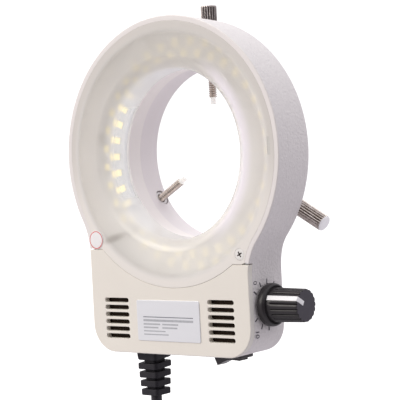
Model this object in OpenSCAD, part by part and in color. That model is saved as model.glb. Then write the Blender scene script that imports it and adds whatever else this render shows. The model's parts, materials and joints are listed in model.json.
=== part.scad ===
// Microscope ring light: a cast ring with a control box below it, a frosted
// diffuser over a ring of surface-mount lamps, and a rear collar with three
// radial thumbscrews that grip a microscope's objective tube.
//
// Axes: the ring's axis is Y and the light leaves towards -Y. +Z is up, with
// the control box below the ring, and +X is the side of the dimmer knob.
// The origin is on the ring's axis in the plane of the housing's back face.

/* [Ring housing] */
// Outer radius of the ring
ring_r = 50; // [49.5:0.1:50.5]
// Depth of the housing from its front rim to its back face
depth = 21.3; // [21.2:0.1:22]
// Wall thickness of the casting
wall = 1.9; // [1.8:0.1:2]
// Thickness of the housing's back wall
back_t = 2.2; // [2:0.1:2.4]
// Radius of the guide bore that takes the objective tube
bore_r = 31.5; // [31.4:0.05:31.6]
// Length of the guide bore
bore_len = 7.3; // [7:0.1:7.4]

/* [Control box] */
// Sideways offset of the box from the ring's axis
box_x = -3.4; // [-3.6:0.1:-3.2]
// Half of the box's width
box_hw = 37.65; // [37.5:0.05:38]
// Height of the box's lower face
box_z = -72.9; // [-73.5:0.1:-72.5]
// Radius of the box's lower corners
corner_r = 10.5; // [10:0.5:11]
// Radius of the concave neck on the knob side
neck_r = 20; // [18:1:22]
// Radius of the concave neck on the plain side
neck_l = 26; // [24:1:28]
// Thickness of the front cover
cover_t = 2.3; // [2.1:0.1:2.4]
// Height of the cover's shoulder on the knob side
shoulder_r = -40.1; // [-40.5:0.1:-39.8]
// Height of the cover's shoulder on the plain side
shoulder_l = -34.4; // [-34.8:0.1:-34]
// Number of ventilation slots on each side of the label
vent_n = 6; // [4:1:6]
// Distance between ventilation slots
vent_pitch = 2.67; // [2.5:0.01:2.8]

/* [Diffuser and lamps] */
// Radius of the diffuser's inner sleeve
sleeve_r = 31; // [30.9:0.05:31.1]
// Thickness of the diffuser
diff_t = 1.6; // [1.4:0.1:1.7]
// Radius of the rolled inner edge of the diffuser
roll_r = 5; // [4.5:0.1:5.2]
// Lamps in each of the two rows
lamp_n = 36; // [30:1:36]
// Radius of the inner row of lamps
lamp_ri = 36.9; // [36.7:0.1:37]
// Radius of the outer row of lamps
lamp_ro = 41.2; // [41:0.1:41.3]

/* [Clamp collar] */
// Bore radius of the collar
collar_ri = 32.25; // [32.2:0.05:32.3]
// Outer radius of the collar
collar_ro = 38; // [37.9:0.1:38.2]
// Length of the collar behind the housing
collar_len = 10.5; // [10.5:0.1:11]
// Distance of the thumbscrews from the housing's back face
screw_y = 7; // [6.9:0.1:7.1]
// Radius of the thumbscrew thread
thread_r = 1.5; // [1.48:0.01:1.5]
// Radius of the thumbscrew head
head_r = 3; // [2.8:0.1:3.2]
// Distance of the thumbscrew tip from the ring's axis
tip_at = 18.2; // [18:0.1:18.5]

/* [Dimmer and switch] */
// Depth position of the knob's axis
knob_y = -11; // [-11.1:0.1:-10.9]
// Height of the knob's axis
knob_z = -54.8; // [-55:0.1:-54.6]
// Radius of the knob's skirt
skirt_r = 7.6; // [7.4:0.1:7.8]
// Radius of the knob's grip
knob_r = 5.75; // [5.6:0.05:5.9]
// Angle of the pointer above the front, with the knob at its low end
pointer_a = 30; // [25:1:35]
// Sideways position of the rocker switch
switch_x = 17.2; // [17:0.1:17.4]
// Depth position of the rocker switch
switch_y = -11.75; // [-11.85:0.05:-11.65]
// Tilt of the rocker to each side
rocker_a = 11; // [10:0.5:11.5]

/* [Lead] */
// Sideways position of the strain relief
relief_x = -20.2; // [-20.5:0.1:-20]
// Width of the strain relief at its top rib
relief_w = 9.4; // [9.2:0.1:9.6]
// Number of ribs of the strain relief
relief_n = 4; // [4:1:4]
// Diameter of the lead
cord_d = 4.2; // [4:0.1:4.3]

/* [Hidden] */
$fn = 96;

y_front = -depth;
y_cover = y_front + cover_t;
xr = box_x + box_hw;
xl = box_x - box_hw;
neck_zr = -sqrt(pow(ring_r + neck_r, 2) - pow(xr + neck_r, 2));
neck_zl = -sqrt(pow(ring_r + neck_l, 2) - pow(neck_l - xl, 2));
arc_r = ring_r - wall + 0.4;
board_y = -8.2;
board_t = 1.6;
driver_y = -7.2;
ear_r = [30.9, -36.3];
ear_l = [-37.3, -30.9];
led_posts = [for (a = [20, 110, 170, 250]) 44.8 * [cos(a), sin(a)]];
driver_posts = [[-30, -53], [1, -60.5]];
collar_holes = [for (a = [30, 150, 270]) 35.8 * [cos(a), sin(a)]];
screw_a = [90, 210, 330];
face_x = xr;
relief_y = -11.1;
relief_end = box_z - 3.1 * (relief_n - 1) - 6.5;
floor_z = -150;
coil_c = [-1.25, 10.9];
coil_top = -138.3;
coil_p = 4.35;
coil_rm = 23.3;
plug_z = -145.2;
plug_y = coil_c[1] - coil_rm - coil_p;

// Extrudes a shape drawn in X and Z from y0 to y1
module ext(y0, y1) translate([0, y1, 0]) rotate([90, 0, 0]) linear_extrude(y1 - y0) children();
// Turns a profile of radius and height about the ring's axis, with height towards the front
module turned() rotate([90, 0, 0]) rotate_extrude($fn = 180) children();
// Places a part along the ray at angle a of the clamp collar
module radial(a) rotate([0, -a, 0]) translate([0, screw_y, 0]) rotate([0, 90, 0]) children();
// A round bar along X on the knob's axis
module on_knob(x0, x1, r) translate([x0, knob_y, knob_z]) rotate([0, 90, 0]) cylinder(h = x1 - x0, r = r);
// The keyhole outline of the housing, d inside its outer surface
module outline(d = 0) {
  circle(ring_r - d, $fn = 180);
  translate([xl + d, box_z + corner_r]) square([xr - xl - 2 * d, -20 - box_z - corner_r]);
  translate([xl + corner_r, box_z + d]) square([xr - xl - 2 * corner_r, corner_r + 1]);
  for (x = [xl + corner_r, xr - corner_r]) translate([x, box_z + corner_r]) circle(corner_r - d);
  difference() {
    polygon([[0, 0], ring_r / (ring_r + neck_r) * [xr + neck_r, neck_zr], [xr + neck_r, neck_zr], [0, neck_zr]]);
    translate([xr + neck_r, neck_zr]) circle(neck_r + d + 0.05);
  }
  difference() {
    polygon([[0, 0], ring_r / (ring_r + neck_l) * [xl - neck_l, neck_zl], [xl - neck_l, neck_zl], [0, neck_zl]]);
    translate([xl - neck_l, neck_zl]) circle(neck_l + d + 0.05);
  }
}
// The part of the front that the cover takes, grown upwards by g
module below_shoulders(g = 0) difference() {
  union() {
    translate([0, -90]) square([60, 90 + shoulder_r + g]);
    translate([-60, -90]) square([60.01, 90 + shoulder_l + g]);
  }
  circle(arc_r - g, $fn = 180);
}
module slots() for (s = [-1, 1], k = [0:vent_n - 1]) translate([box_x + s * 24.9, -53.23 - k * vent_pitch]) {
  square([10.15, 1.45], center = true);
  for (e = [-1, 1]) translate([e * 5.075, 0]) circle(0.725);
}
// Tube of radius r along the points p, with ref never along the path
function unit(v) = v / norm(v);
function tangent(p, i) = let (n = len(p)) unit(i == 0 ? p[1] - p[0] : i == n - 1 ? p[n - 1] - p[n - 2] : p[i + 1] - p[i - 1]);
module tube(p, r, ref, s = 8) {
  n = len(p);
  pts = [for (i = [0:n - 1]) let (t = tangent(p, i), a = unit(cross(ref, t)), b = cross(t, a)) for (k = [0:s - 1]) p[i] + r * cos(360 * k / s) * a + r * sin(360 * k / s) * b];
  sides = [for (i = [0:n - 2], k = [0:s - 1], h = [0, 1]) let (q = (k + 1) % s) h == 0 ? [i * s + k, (i + 1) * s + k, (i + 1) * s + q] : [i * s + k, (i + 1) * s + q, i * s + q]];
  polyhedron(pts, concat([[for (k = [0:s - 1]) k]], sides, [[for (k = [s - 1:-1:0]) (n - 1) * s + k]]), convexity = 6);
}

module housing() color([0.80, 0.78, 0.80]) difference() {
  union() {
    difference() {
      union() {
        ext(y_cover, 0) outline(0);
        ext(y_front, y_cover) difference() { outline(0); below_shoulders(0.15); }
      }
      ext(y_front - 1, -back_t) outline(wall);
    }
    ext(-bore_len, -back_t / 2) circle(bore_r + wall);
    ext(board_y + board_t, -back_t / 2) for (p = led_posts) translate(p) circle(2.2);
    ext(driver_y + board_t, -back_t / 2) for (p = driver_posts) translate(p) circle(2.2);
    intersection() {
      ext(y_front + diff_t, -back_t / 2) for (p = [ear_r, ear_l]) translate(p) circle(2.6);
      ext(y_front, 0) outline(0.5);
    }
  }
  ext(-bore_len - 1, 1) circle(bore_r, $fn = 180);
  ext(board_y, -back_t) for (p = led_posts) translate(p) circle(1.15);
  ext(driver_y, -back_t) for (p = driver_posts) translate(p) circle(1.15);
  ext(y_front, -12) for (p = [ear_r, ear_l]) translate(p) circle(1.05);
  ext(-back_t - 1, 1) for (p = collar_holes) translate(p) circle(1.3);
  on_knob(face_x - wall - 1, face_x + 1, 3.6);
  translate([switch_x - 6.75, switch_y - 3.5, box_z - 1]) cube([13.5, 7, wall + 2]);
  translate([relief_x - 3.4, relief_y - 3.4, box_z - 1]) cube([6.8, 6.8, wall + 2]);
}

module front_cover() color([0.90, 0.86, 0.81]) {
  difference() {
    union() {
      ext(y_front, y_cover) intersection() { outline(0); below_shoulders(); }
      difference() {
        ext(y_cover - 0.01, y_cover + 2) intersection() {
          difference() { outline(wall + 0.25); outline(wall + 1.45); }
          below_shoulders(-1);
        }
        translate([20, y_front, -66]) cube([20, 20, 22]);
      }
    }
    ext(y_front - 1, y_cover + 1) slots();
  }
}

module label_plate() color([0.92, 0.92, 0.95]) ext(y_front - 0.3, y_front) translate([box_x - 15, -68]) {
  translate([0.8, 0]) square([28.4, 15]);
  translate([0, 0.8]) square([30, 13.4]);
  for (x = [0.8, 29.2], z = [0.8, 14.2]) translate([x, z]) circle(0.8);
}

module clamp_collar() color([0.78, 0.76, 0.79]) difference() {
  ext(0, collar_len) circle(collar_ro, $fn = 180);
  ext(-1, collar_len + 1) circle(collar_ri, $fn = 180);
  for (a = screw_a) radial(a) translate([0, 0, 28]) cylinder(h = 14, r = 2.92);
  ext(-1, 6.5) for (p = collar_holes) translate(p) circle(1.25);
}

module collar_screws() color("silver") for (p = collar_holes) {
  ext(-back_t - 1.3, -back_t) translate(p) circle(1.9);
  ext(-back_t - 0.01, 6) translate(p) circle(1.2);
}

module thread_inserts() color([0.80, 0.68, 0.42]) for (a = screw_a) radial(a) translate([0, 0, 32.5]) difference() {
  cylinder(h = 5.3, r = 2.9);
  translate([0, 0, -1]) cylinder(h = 8, r = thread_r + 0.05);
}

module diffuser() color([0.90, 0.88, 0.86]) difference() {
  union() {
    turned() {
      translate([sleeve_r + roll_r, depth - diff_t]) square([42 - sleeve_r - roll_r, diff_t]);
      translate([sleeve_r, 7.5]) square([diff_t, depth - roll_r - 7.5]);
      intersection() {
        translate([sleeve_r + roll_r, depth - roll_r]) difference() { circle(roll_r); circle(roll_r - diff_t); }
        translate([sleeve_r - 1, depth - roll_r]) square([roll_r + 1, roll_r + 1]);
      }
    }
    ext(y_front, y_front + diff_t) difference() { outline(wall + 0.2); below_shoulders(0.3); circle(40, $fn = 180); }
  }
  ext(y_front - 1, y_front + diff_t + 1) for (p = [ear_r, ear_l]) translate(p) circle(1.2);
  for (p = [ear_r, ear_l]) translate([p[0], y_front + 1, p[1]]) rotate([90, 0, 0]) cylinder(h = 3, r = 2.1);
}

module diffuser_screws() color("silver") for (p = [ear_r, ear_l]) difference() {
  translate([p[0], 0, p[1]]) rotate([90, 0, 0]) rotate_extrude() polygon([[0, 12.5], [1, 12.5], [1, depth - 1], [2, depth - 1], [2, depth - 0.4], [1.6, depth], [0, depth]]);
  for (r = [0, 90]) translate([p[0], y_front, p[1]]) rotate([0, r, 0]) cube([2.2, 1.4, 0.5], center = true);
}

module seal_sticker() color("white") ext(y_front - 0.2, y_front) translate([-37.35, -30.7]) circle(3.5);

module led_board() color([0.93, 0.93, 0.92]) ext(board_y, board_y + board_t) difference() {
  circle(47.4, $fn = 180);
  circle(33.9, $fn = 180);
  for (p = led_posts) translate(p) circle(1.25);
  for (p = [ear_r, ear_l]) translate(p) circle(3.2);
}

module leds() color([0.98, 0.93, 0.60]) for (k = [0:lamp_n - 1], o = [0, 1])
  rotate([0, -(9.3 - 4.5 * o + 360 * k / lamp_n), 0]) translate([(o == 0 ? lamp_ri : lamp_ro) - 1.75, board_y - 0.75, -1.4]) cube([3.5, 0.75, 2.8]);

module driver_board() color([0.10, 0.36, 0.20]) ext(driver_y, driver_y + board_t) difference() {
  translate([-33, -64]) square([37, 14]);
  for (p = driver_posts) translate(p) circle(1.25);
}

module driver_components() color([0.12, 0.12, 0.13]) {
  ext(driver_y - 1.6, driver_y) translate([-13, -60]) square([5, 4]);
  ext(driver_y - 4, driver_y) translate([-27, -59.5]) circle(3);
  ext(driver_y - 7, driver_y) translate([-4.5, -56.5]) circle(2.5);
  ext(driver_y - 2.2, driver_y) translate([-19, -55]) square([4, 2.6]);
  for (x = [-31.5, -26, -24.2]) ext(driver_y - 0.6, driver_y) translate([x, -63]) square([1.2, 2]);
}

module board_screws() color("silver") {
  for (p = led_posts) {
    ext(board_y - 1.3, board_y) translate(p) circle(2);
    ext(board_y - 0.01, -3.5) translate(p) circle(1.1);
  }
  for (p = driver_posts) {
    ext(driver_y - 1.3, driver_y) translate(p) circle(2);
    ext(driver_y - 0.01, -3) translate(p) circle(1.1);
  }
}

module pot_body() color([0.55, 0.56, 0.58]) difference() {
  union() {
    on_knob(face_x - wall - 8.05, face_x - wall - 0.05, 7.6);
    on_knob(face_x - wall - 1, face_x + 3.9, 3.5);
  }
  on_knob(face_x - wall - 7, face_x + 6, 3.05);
}

module pot_pins() color([0.80, 0.70, 0.45]) for (k = [-1, 0, 1])
  translate([face_x - wall - 11.05, knob_y + 2.5 * k - 0.5, -52.3]) cube([3, 1, 0.6]);

module pot_washer() color("silver") difference() {
  on_knob(face_x, face_x + 0.4, 5.4);
  on_knob(face_x - 1, face_x + 1, 3.6);
}

module pot_nut() color("silver") difference() {
  translate([face_x + 0.4, knob_y, knob_z]) rotate([0, 90, 0]) cylinder(h = 1.9, r = 5.77, $fn = 6);
  on_knob(face_x, face_x + 4, 3.55);
}

module pot_shaft() color([0.75, 0.75, 0.77]) on_knob(face_x - wall - 6.5, face_x + 13, 3);

module knob() color([0.12, 0.12, 0.13]) difference() {
  union() {
    on_knob(face_x + 1.5, face_x + 4.1, skirt_r);
    on_knob(face_x + 4.09, face_x + 16.5, knob_r);
  }
  on_knob(face_x, face_x + 3.35, 6.2);
  on_knob(face_x, face_x + 4.5, 3.9);
  on_knob(face_x, face_x + 13.2, 3.02);
  pointer_bars(0.02);
}
module pointer_bars(g = 0) translate([face_x, knob_y, knob_z]) rotate([-pointer_a, 0, 0]) {
  translate([3.8 - g, -6.05 - g, -0.85 - g]) cube([13 + g, 0.85 + 2 * g, 1.7 + 2 * g]);
  translate([16.1 - g, -6.05 - g, -0.85 - g]) cube([0.7 + g, 4.15 + 2 * g, 1.7 + 2 * g]);
}
module knob_pointer() color("white") pointer_bars();

module switch_body() color([0.10, 0.10, 0.11]) difference() {
  union() {
    translate([switch_x - 7.5, switch_y - 3.85, box_z - 1.2]) cube([15, 7.7, 1.2]);
    translate([switch_x - 6.6, switch_y - 3.4, box_z - 0.01]) cube([13.2, 6.8, 11.4]);
  }
  translate([switch_x - 6.2, switch_y - 2.8, box_z - 2]) cube([12.4, 5.6, 8.4]);
  translate([switch_x, switch_y + 3.2, box_z + 0.3]) rotate([90, 0, 0]) cylinder(h = 6.4, r = 0.85);
}

module switch_rocker() color([0.09, 0.09, 0.10]) translate([switch_x, switch_y, box_z + 0.3]) rotate([0, -rocker_a, 0]) {
  translate([0, 2.55, 0]) rotate([90, 0, 0]) linear_extrude(5.1) polygon([[-5.2, -3.35], [0, -2.1], [5.2, -3.35], [5.9, -0.6], [2.2, 2.2], [-2.2, 2.2], [-5.9, -0.6]]);
  translate([0, 3.1, 0]) rotate([90, 0, 0]) cylinder(h = 6.2, r = 0.8);
}

module switch_terminals() color([0.82, 0.72, 0.46]) for (x = [switch_x - 4, switch_x + 1])
  translate([x - 0.4, knob_y - 2.3, box_z + 11.39]) cube([0.8, 4.6, 5]);

module strain_relief() color([0.10, 0.10, 0.11]) translate([relief_x, relief_y, 0]) {
  translate([-4.95, -4.95, box_z - 3.3]) cube([9.9, 9.9, 3.3]);
  for (k = [0:relief_n - 1]) let (w = relief_w - k * 0.36)
    translate([-w / 2, -w / 2, box_z - 3.1 * k - 6.5]) cube([w, w, 2.1]);
  translate([-2.7, -2.7, relief_end + 1]) cube([5.4, 5.4, box_z - relief_end - 2]);
  translate([-3.3, -3.3, box_z - 0.5]) cube([6.6, 6.6, wall + 0.5]);
  translate([-4.5, -4.5, box_z + wall]) cube([9, 9, 2]);
}

module supply_wires() color([0.6, 0.1, 0.1]) for (x = [-1.6, 1.6])
  tube([for (p = [[-11.1, -69], [-11.1, -67], [-11, -65.5], [-10.5, -64], [-9.7, -62.8], [-8.6, -62.4], [-7.22, -62.4]]) [relief_x + x, p[0], p[1]]], 0.6, [1, 0, 0]);

module led_wires() color([0.6, 0.1, 0.1]) for (x = [-12, -10])
  tube([for (p = [[-7.22, -52], [-8.6, -52], [-10.2, -51.2], [-11.6, -49.8], [-12.2, -48], [-11.9, -46.4], [-10.4, -45.1], [board_y - 0.02, -45.1]]) [x, p[0], p[1]]], 0.6, [1, 0, 0]);

module switch_wires() color([0.15, 0.15, 0.17]) {
  tube([[13.2, -11, -56.51], [13.2, -11, -55.6], [12.7, -11, -54.8], [11.4, -11, -54.5], [8, -11, -54.6], [4.6, -10.8, -54.9], [2.6, -9.9, -55.1], [1.5, -8.6, -55.2], [1.5, -7.22, -55.2]], 0.6, [1, 1, 1]);
  tube([[18.2, -12.5, -56.51], [18.2, -12.5, -55.6], [17.6, -13, -54.7], [15.8, -13.8, -54.4], [12, -14.2, -54.8], [7, -13.9, -56], [3.4, -12.2, -57], [1.9, -9.8, -57.4], [1.5, -8.4, -57.5], [1.5, -7.22, -57.5]], 0.6, [1, 1, 1]);
}

module pot_wires() color([0.8, 0.6, 0.1]) for (k = [-1, 0, 1])
  tube([for (p = [[face_x - wall - 11.05, knob_y + 2.5 * k], [17, knob_y + 2.5 * k], [9, knob_y + 2.4 * k - 0.2], [5 + 2 * k, knob_y + 2 * k - 0.1], [2 + 3 * k, knob_y + k + 0.1], [3.4 * k, -8.8], [3.4 * k, -7.22]]) [p[0], p[1], -52]], 0.6, [0, 0, 1]);

module thumbscrew(a) color([0.72, 0.70, 0.68]) radial(a) difference() {
  rotate_extrude() polygon([[0, tip_at + 2.6], [1.15, tip_at + 2.6], [thread_r, tip_at + 3.1], [thread_r, 41], [head_r - 0.3, 41], [head_r, 41.3], [head_r, 55], [head_r - 0.5, 55.5], [0, 55.5]]);
  translate([0, 0, tip_at]) cylinder(h = 5.3, r = 1.05);
}
module thumbscrew_top() thumbscrew(90);
module thumbscrew_left() thumbscrew(210);
module thumbscrew_right() thumbscrew(330);

module screw_tip(a) color([0.93, 0.93, 0.90]) radial(a) rotate_extrude() polygon([[0, tip_at], [0.8, tip_at], [1, tip_at + 0.2], [1, tip_at + 5], [0, tip_at + 5]]);
module screw_tip_top() screw_tip(90);
module screw_tip_left() screw_tip(210);
module screw_tip_right() screw_tip(330);

module cord_lead() color([0.09, 0.09, 0.10])
  tube(concat([for (z = [relief_end, -97, -107, coil_top + 22]) [relief_x, relief_y, z]], [for (a = [10:10:80]) [relief_x, relief_y + 22 - 22 * cos(a), coil_top + 22 - 22 * sin(a)]]), cord_d / 2, [1, 0, 0], 10);

module cord_coil() color([0.09, 0.09, 0.10]) translate([coil_c[0], coil_c[1], 0]) rotate_extrude()
  polygon([for (s = [[-1, -1], [1, -1], [1, 1], [-1, 1]], c = [0, 1]) let (w = coil_p + 2.3, k = (s[0] == s[1]) ? c : 1 - c) [coil_rm + s[0] * (w - 1.2 * k), coil_top - coil_p - 0.05 + s[1] * (w - 0.1 - 1.2 * (1 - k))]]);

module cord_tail() color([0.09, 0.09, 0.10])
  tube([[-1.25, plug_y, -147], [-5, plug_y, -147], [-9, plug_y, -146.8], [-13, plug_y, -146.2], [-16.5, plug_y, -145.5], [-18.5, plug_y, -145.2], [-20, plug_y, plug_z]], cord_d / 2, [0, 1, 0], 10);

module coil_tie() color([0.14, 0.14, 0.15]) translate([coil_c[0], coil_c[1], 0]) rotate([0, 0, 40]) difference() {
  translate([coil_rm - coil_p - 3.3, -3, coil_top - 2 * coil_p - 2.85]) cube([2 * coil_p + 6.3, 6, 2 * coil_p + 5.6]);
  translate([coil_rm - coil_p - 2.75, -4, coil_top - 2 * coil_p - 2.35]) cube([2 * coil_p + 5.2, 8, 2 * coil_p + 4.7]);
}

module plug_body() color([0.10, 0.10, 0.11]) translate([0, plug_y, plug_z]) rotate([0, -90, 0]) rotate_extrude()
  polygon([[0, 20], [2.9, 20], [3.4, 24], [4.3, 27], [4.8, 29], [4.8, 45.2], [4.4, 46], [0, 46]]);

module plug_barrel() color([0.85, 0.85, 0.87]) translate([-46, plug_y, plug_z]) rotate([0, -90, 0]) difference() {
  cylinder(h = 9.5, r = 2.75);
  translate([0, 0, 0.8]) cylinder(h = 10, r = 2.3);
}

module plug_insulator() color([0.08, 0.08, 0.09]) translate([-46, plug_y, plug_z]) rotate([0, -90, 0]) translate([0, 0, 0.8]) difference() {
  cylinder(h = 8.5, r = 2.28);
  translate([0, 0, 1]) cylinder(h = 9, r = 1.1);
}

housing();
front_cover();
label_plate();
clamp_collar();
collar_screws();
thread_inserts();
diffuser();
diffuser_screws();
seal_sticker();
led_board();
leds();
driver_board();
driver_components();
board_screws();
pot_body();
pot_pins();
pot_washer();
pot_nut();
pot_shaft();
knob();
knob_pointer();
switch_body();
switch_rocker();
switch_terminals();
strain_relief();
supply_wires();
led_wires();
switch_wires();
pot_wires();
thumbscrew_top();
thumbscrew_left();
thumbscrew_right();
screw_tip_top();
screw_tip_left();
screw_tip_right();
cord_lead();
cord_coil();
cord_tail();
coil_tie();
plug_body();
plug_barrel();
plug_insulator();
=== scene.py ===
import json
import math

import bmesh
import bpy
from mathutils import Matrix, Vector

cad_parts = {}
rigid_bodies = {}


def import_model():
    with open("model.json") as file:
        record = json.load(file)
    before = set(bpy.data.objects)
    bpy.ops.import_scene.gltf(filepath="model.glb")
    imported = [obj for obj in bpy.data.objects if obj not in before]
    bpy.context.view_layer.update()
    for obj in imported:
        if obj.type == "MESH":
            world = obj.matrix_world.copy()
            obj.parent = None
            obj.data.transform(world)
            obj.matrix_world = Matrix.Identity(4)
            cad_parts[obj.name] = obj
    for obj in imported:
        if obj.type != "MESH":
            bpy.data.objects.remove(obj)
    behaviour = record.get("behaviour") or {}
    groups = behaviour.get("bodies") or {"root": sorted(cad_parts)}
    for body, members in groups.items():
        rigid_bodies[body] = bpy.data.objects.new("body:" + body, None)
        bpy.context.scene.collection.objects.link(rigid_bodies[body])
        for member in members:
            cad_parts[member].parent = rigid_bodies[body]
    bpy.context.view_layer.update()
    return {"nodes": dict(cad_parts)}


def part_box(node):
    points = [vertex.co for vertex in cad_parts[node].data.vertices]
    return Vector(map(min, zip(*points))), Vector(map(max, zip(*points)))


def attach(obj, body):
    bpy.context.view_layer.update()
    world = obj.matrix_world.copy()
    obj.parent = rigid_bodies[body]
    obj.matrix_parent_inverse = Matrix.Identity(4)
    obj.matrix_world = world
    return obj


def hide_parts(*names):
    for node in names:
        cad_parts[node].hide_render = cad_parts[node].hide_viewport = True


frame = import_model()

MM = 0.001
scene = bpy.context.scene
scene.view_settings.view_transform = "Standard"
scene.view_settings.look = "None"


def rad(a):
    return a * math.pi / 180


def cs(a):
    return math.cos(rad(a)), math.sin(rad(a))


def smooth01(t):
    t = max(0.0, min(1.0, t))
    return t * t * (3 - 2 * t)


# ---------------------------------------------------------------- camera
def make_camera():
    az, el, roll = rad(39.59), rad(1.15), rad(-2.95)
    back = Vector((math.sin(az) * math.cos(el), -math.cos(az) * math.cos(el), math.sin(el)))
    r = Vector((0, 0, 1)).cross(back).normalized()
    u = back.cross(r)
    right = r * math.cos(roll) + u * math.sin(roll)
    up = u * math.cos(roll) - r * math.sin(roll)
    place = Vector((13.76, -20.5, -16.94)) * MM + back * 0.5
    data = bpy.data.cameras.new("camera")
    data.sensor_fit = "HORIZONTAL"
    data.sensor_width = 36
    data.lens = 126.58
    data.clip_start = 0.01
    data.clip_end = 60
    ob = bpy.data.objects.new("camera", data)
    scene.collection.objects.link(ob)
    ob.matrix_world = Matrix(
        (
            (right.x, up.x, back.x, place.x),
            (right.y, up.y, back.y, place.y),
            (right.z, up.z, back.z, place.z),
            (0, 0, 0, 1),
        )
    )
    scene.camera = ob


make_camera()


# ---------------------------------------------------------------- materials
def nodes_of(mat):
    mat.use_nodes = True
    nt = mat.node_tree
    return nt, nt.nodes, nt.links, nt.nodes["Principled BSDF"]


def tinted(c, f):
    return tuple(max(0.0, min(1.0, x * f)) for x in c) + (1.0,)


def material(
    name,
    color,
    rough=0.5,
    metallic=0.0,
    var=0.05,
    var_scale=90.0,
    rough_var=0.08,
    rough_scale=300.0,
    bump=0.0,
    bump_scale=2000.0,
    bump_depth=0.05,
    stretch=(1, 1, 1),
    spec=0.5,
    coat=0.0,
    coat_rough=0.2,
    transmission=0.0,
    ior=1.45,
    sheen=0.0,
    subsurface=0.0,
    second=None,
    wear=None,
    hollow_shade=None,
    glow=None,
):
    """A surface whose colour, gloss and relief vary with noise at real scale."""
    mat = bpy.data.materials.new(name)
    nt, nodes, links, bsdf = nodes_of(mat)
    bsdf.inputs["Metallic"].default_value = metallic
    bsdf.inputs["Specular IOR Level"].default_value = spec
    bsdf.inputs["IOR"].default_value = ior
    bsdf.inputs["Coat Weight"].default_value = coat
    bsdf.inputs["Coat Roughness"].default_value = coat_rough
    bsdf.inputs["Transmission Weight"].default_value = transmission
    bsdf.inputs["Sheen Weight"].default_value = sheen
    if subsurface:
        bsdf.inputs["Subsurface Weight"].default_value = subsurface
        bsdf.inputs["Subsurface Radius"].default_value = (0.004, 0.0034, 0.003)
        bsdf.inputs["Subsurface Scale"].default_value = 1.0
    coord = nodes.new("ShaderNodeTexCoord")
    mapping = nodes.new("ShaderNodeMapping")
    mapping.inputs["Scale"].default_value = stretch
    links.new(coord.outputs["Object"], mapping.inputs["Vector"])
    tone = nodes.new("ShaderNodeTexNoise")
    tone.inputs["Scale"].default_value = var_scale
    tone.inputs["Detail"].default_value = 5
    links.new(mapping.outputs["Vector"], tone.inputs["Vector"])
    ramp = nodes.new("ShaderNodeValToRGB")
    ramp.color_ramp.elements[0].position = 0.25
    ramp.color_ramp.elements[1].position = 0.75
    ramp.color_ramp.elements[0].color = tinted(second or color, 1 - var)
    ramp.color_ramp.elements[1].color = tinted(color, 1 + var)
    links.new(tone.outputs["Fac"], ramp.inputs["Fac"])
    base = ramp.outputs["Color"]
    if wear:
        geo = nodes.new("ShaderNodeNewGeometry")
        edge = nodes.new("ShaderNodeMapRange")
        edge.inputs["From Min"].default_value = 0.52
        edge.inputs["From Max"].default_value = 0.62
        edge.inputs["To Max"].default_value = wear[1]
        links.new(geo.outputs["Pointiness"], edge.inputs["Value"])
        mix = nodes.new("ShaderNodeMix")
        mix.data_type = "RGBA"
        mix.inputs["B"].default_value = tinted(wear[0], 1)
        links.new(edge.outputs["Result"], mix.inputs["Factor"])
        links.new(base, mix.inputs["A"])
        base = mix.outputs["Result"]
    # painted shade: hollows, found by pointiness, are darkened towards the given colour
    if hollow_shade:
        geo = nodes.new("ShaderNodeNewGeometry")
        dip = nodes.new("ShaderNodeMapRange")
        dip.inputs["From Min"].default_value = 0.50
        dip.inputs["From Max"].default_value = 0.42
        dip.inputs["To Max"].default_value = hollow_shade[1]
        links.new(geo.outputs["Pointiness"], dip.inputs["Value"])
        mix = nodes.new("ShaderNodeMix")
        mix.data_type = "RGBA"
        mix.inputs["B"].default_value = tinted(hollow_shade[0], 1)
        links.new(dip.outputs["Result"], mix.inputs["Factor"])
        links.new(base, mix.inputs["A"])
        base = mix.outputs["Result"]
    # emission: a painted glow on parts that are no lamp, and the floor's even brightness
    if glow:
        bsdf.inputs["Emission Color"].default_value = tinted(glow[0], 1)
        bsdf.inputs["Emission Strength"].default_value = glow[1]
    links.new(base, bsdf.inputs["Base Color"])
    grain = nodes.new("ShaderNodeTexNoise")
    grain.inputs["Scale"].default_value = rough_scale
    grain.inputs["Detail"].default_value = 4
    links.new(mapping.outputs["Vector"], grain.inputs["Vector"])
    gloss = nodes.new("ShaderNodeMapRange")
    gloss.inputs["From Min"].default_value = 0.25
    gloss.inputs["From Max"].default_value = 0.75
    gloss.inputs["To Min"].default_value = max(0.02, rough - rough_var)
    gloss.inputs["To Max"].default_value = min(1.0, rough + rough_var)
    links.new(grain.outputs["Fac"], gloss.inputs["Value"])
    links.new(gloss.outputs["Result"], bsdf.inputs["Roughness"])
    if bump:
        relief = nodes.new("ShaderNodeTexNoise")
        relief.inputs["Scale"].default_value = bump_scale
        relief.inputs["Detail"].default_value = 3
        links.new(mapping.outputs["Vector"], relief.inputs["Vector"])
        b = nodes.new("ShaderNodeBump")
        b.inputs["Strength"].default_value = bump
        b.inputs["Distance"].default_value = bump_depth * MM
        links.new(relief.outputs["Fac"], b.inputs["Height"])
        links.new(b.outputs["Normal"], bsdf.inputs["Normal"])
    return mat


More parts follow.
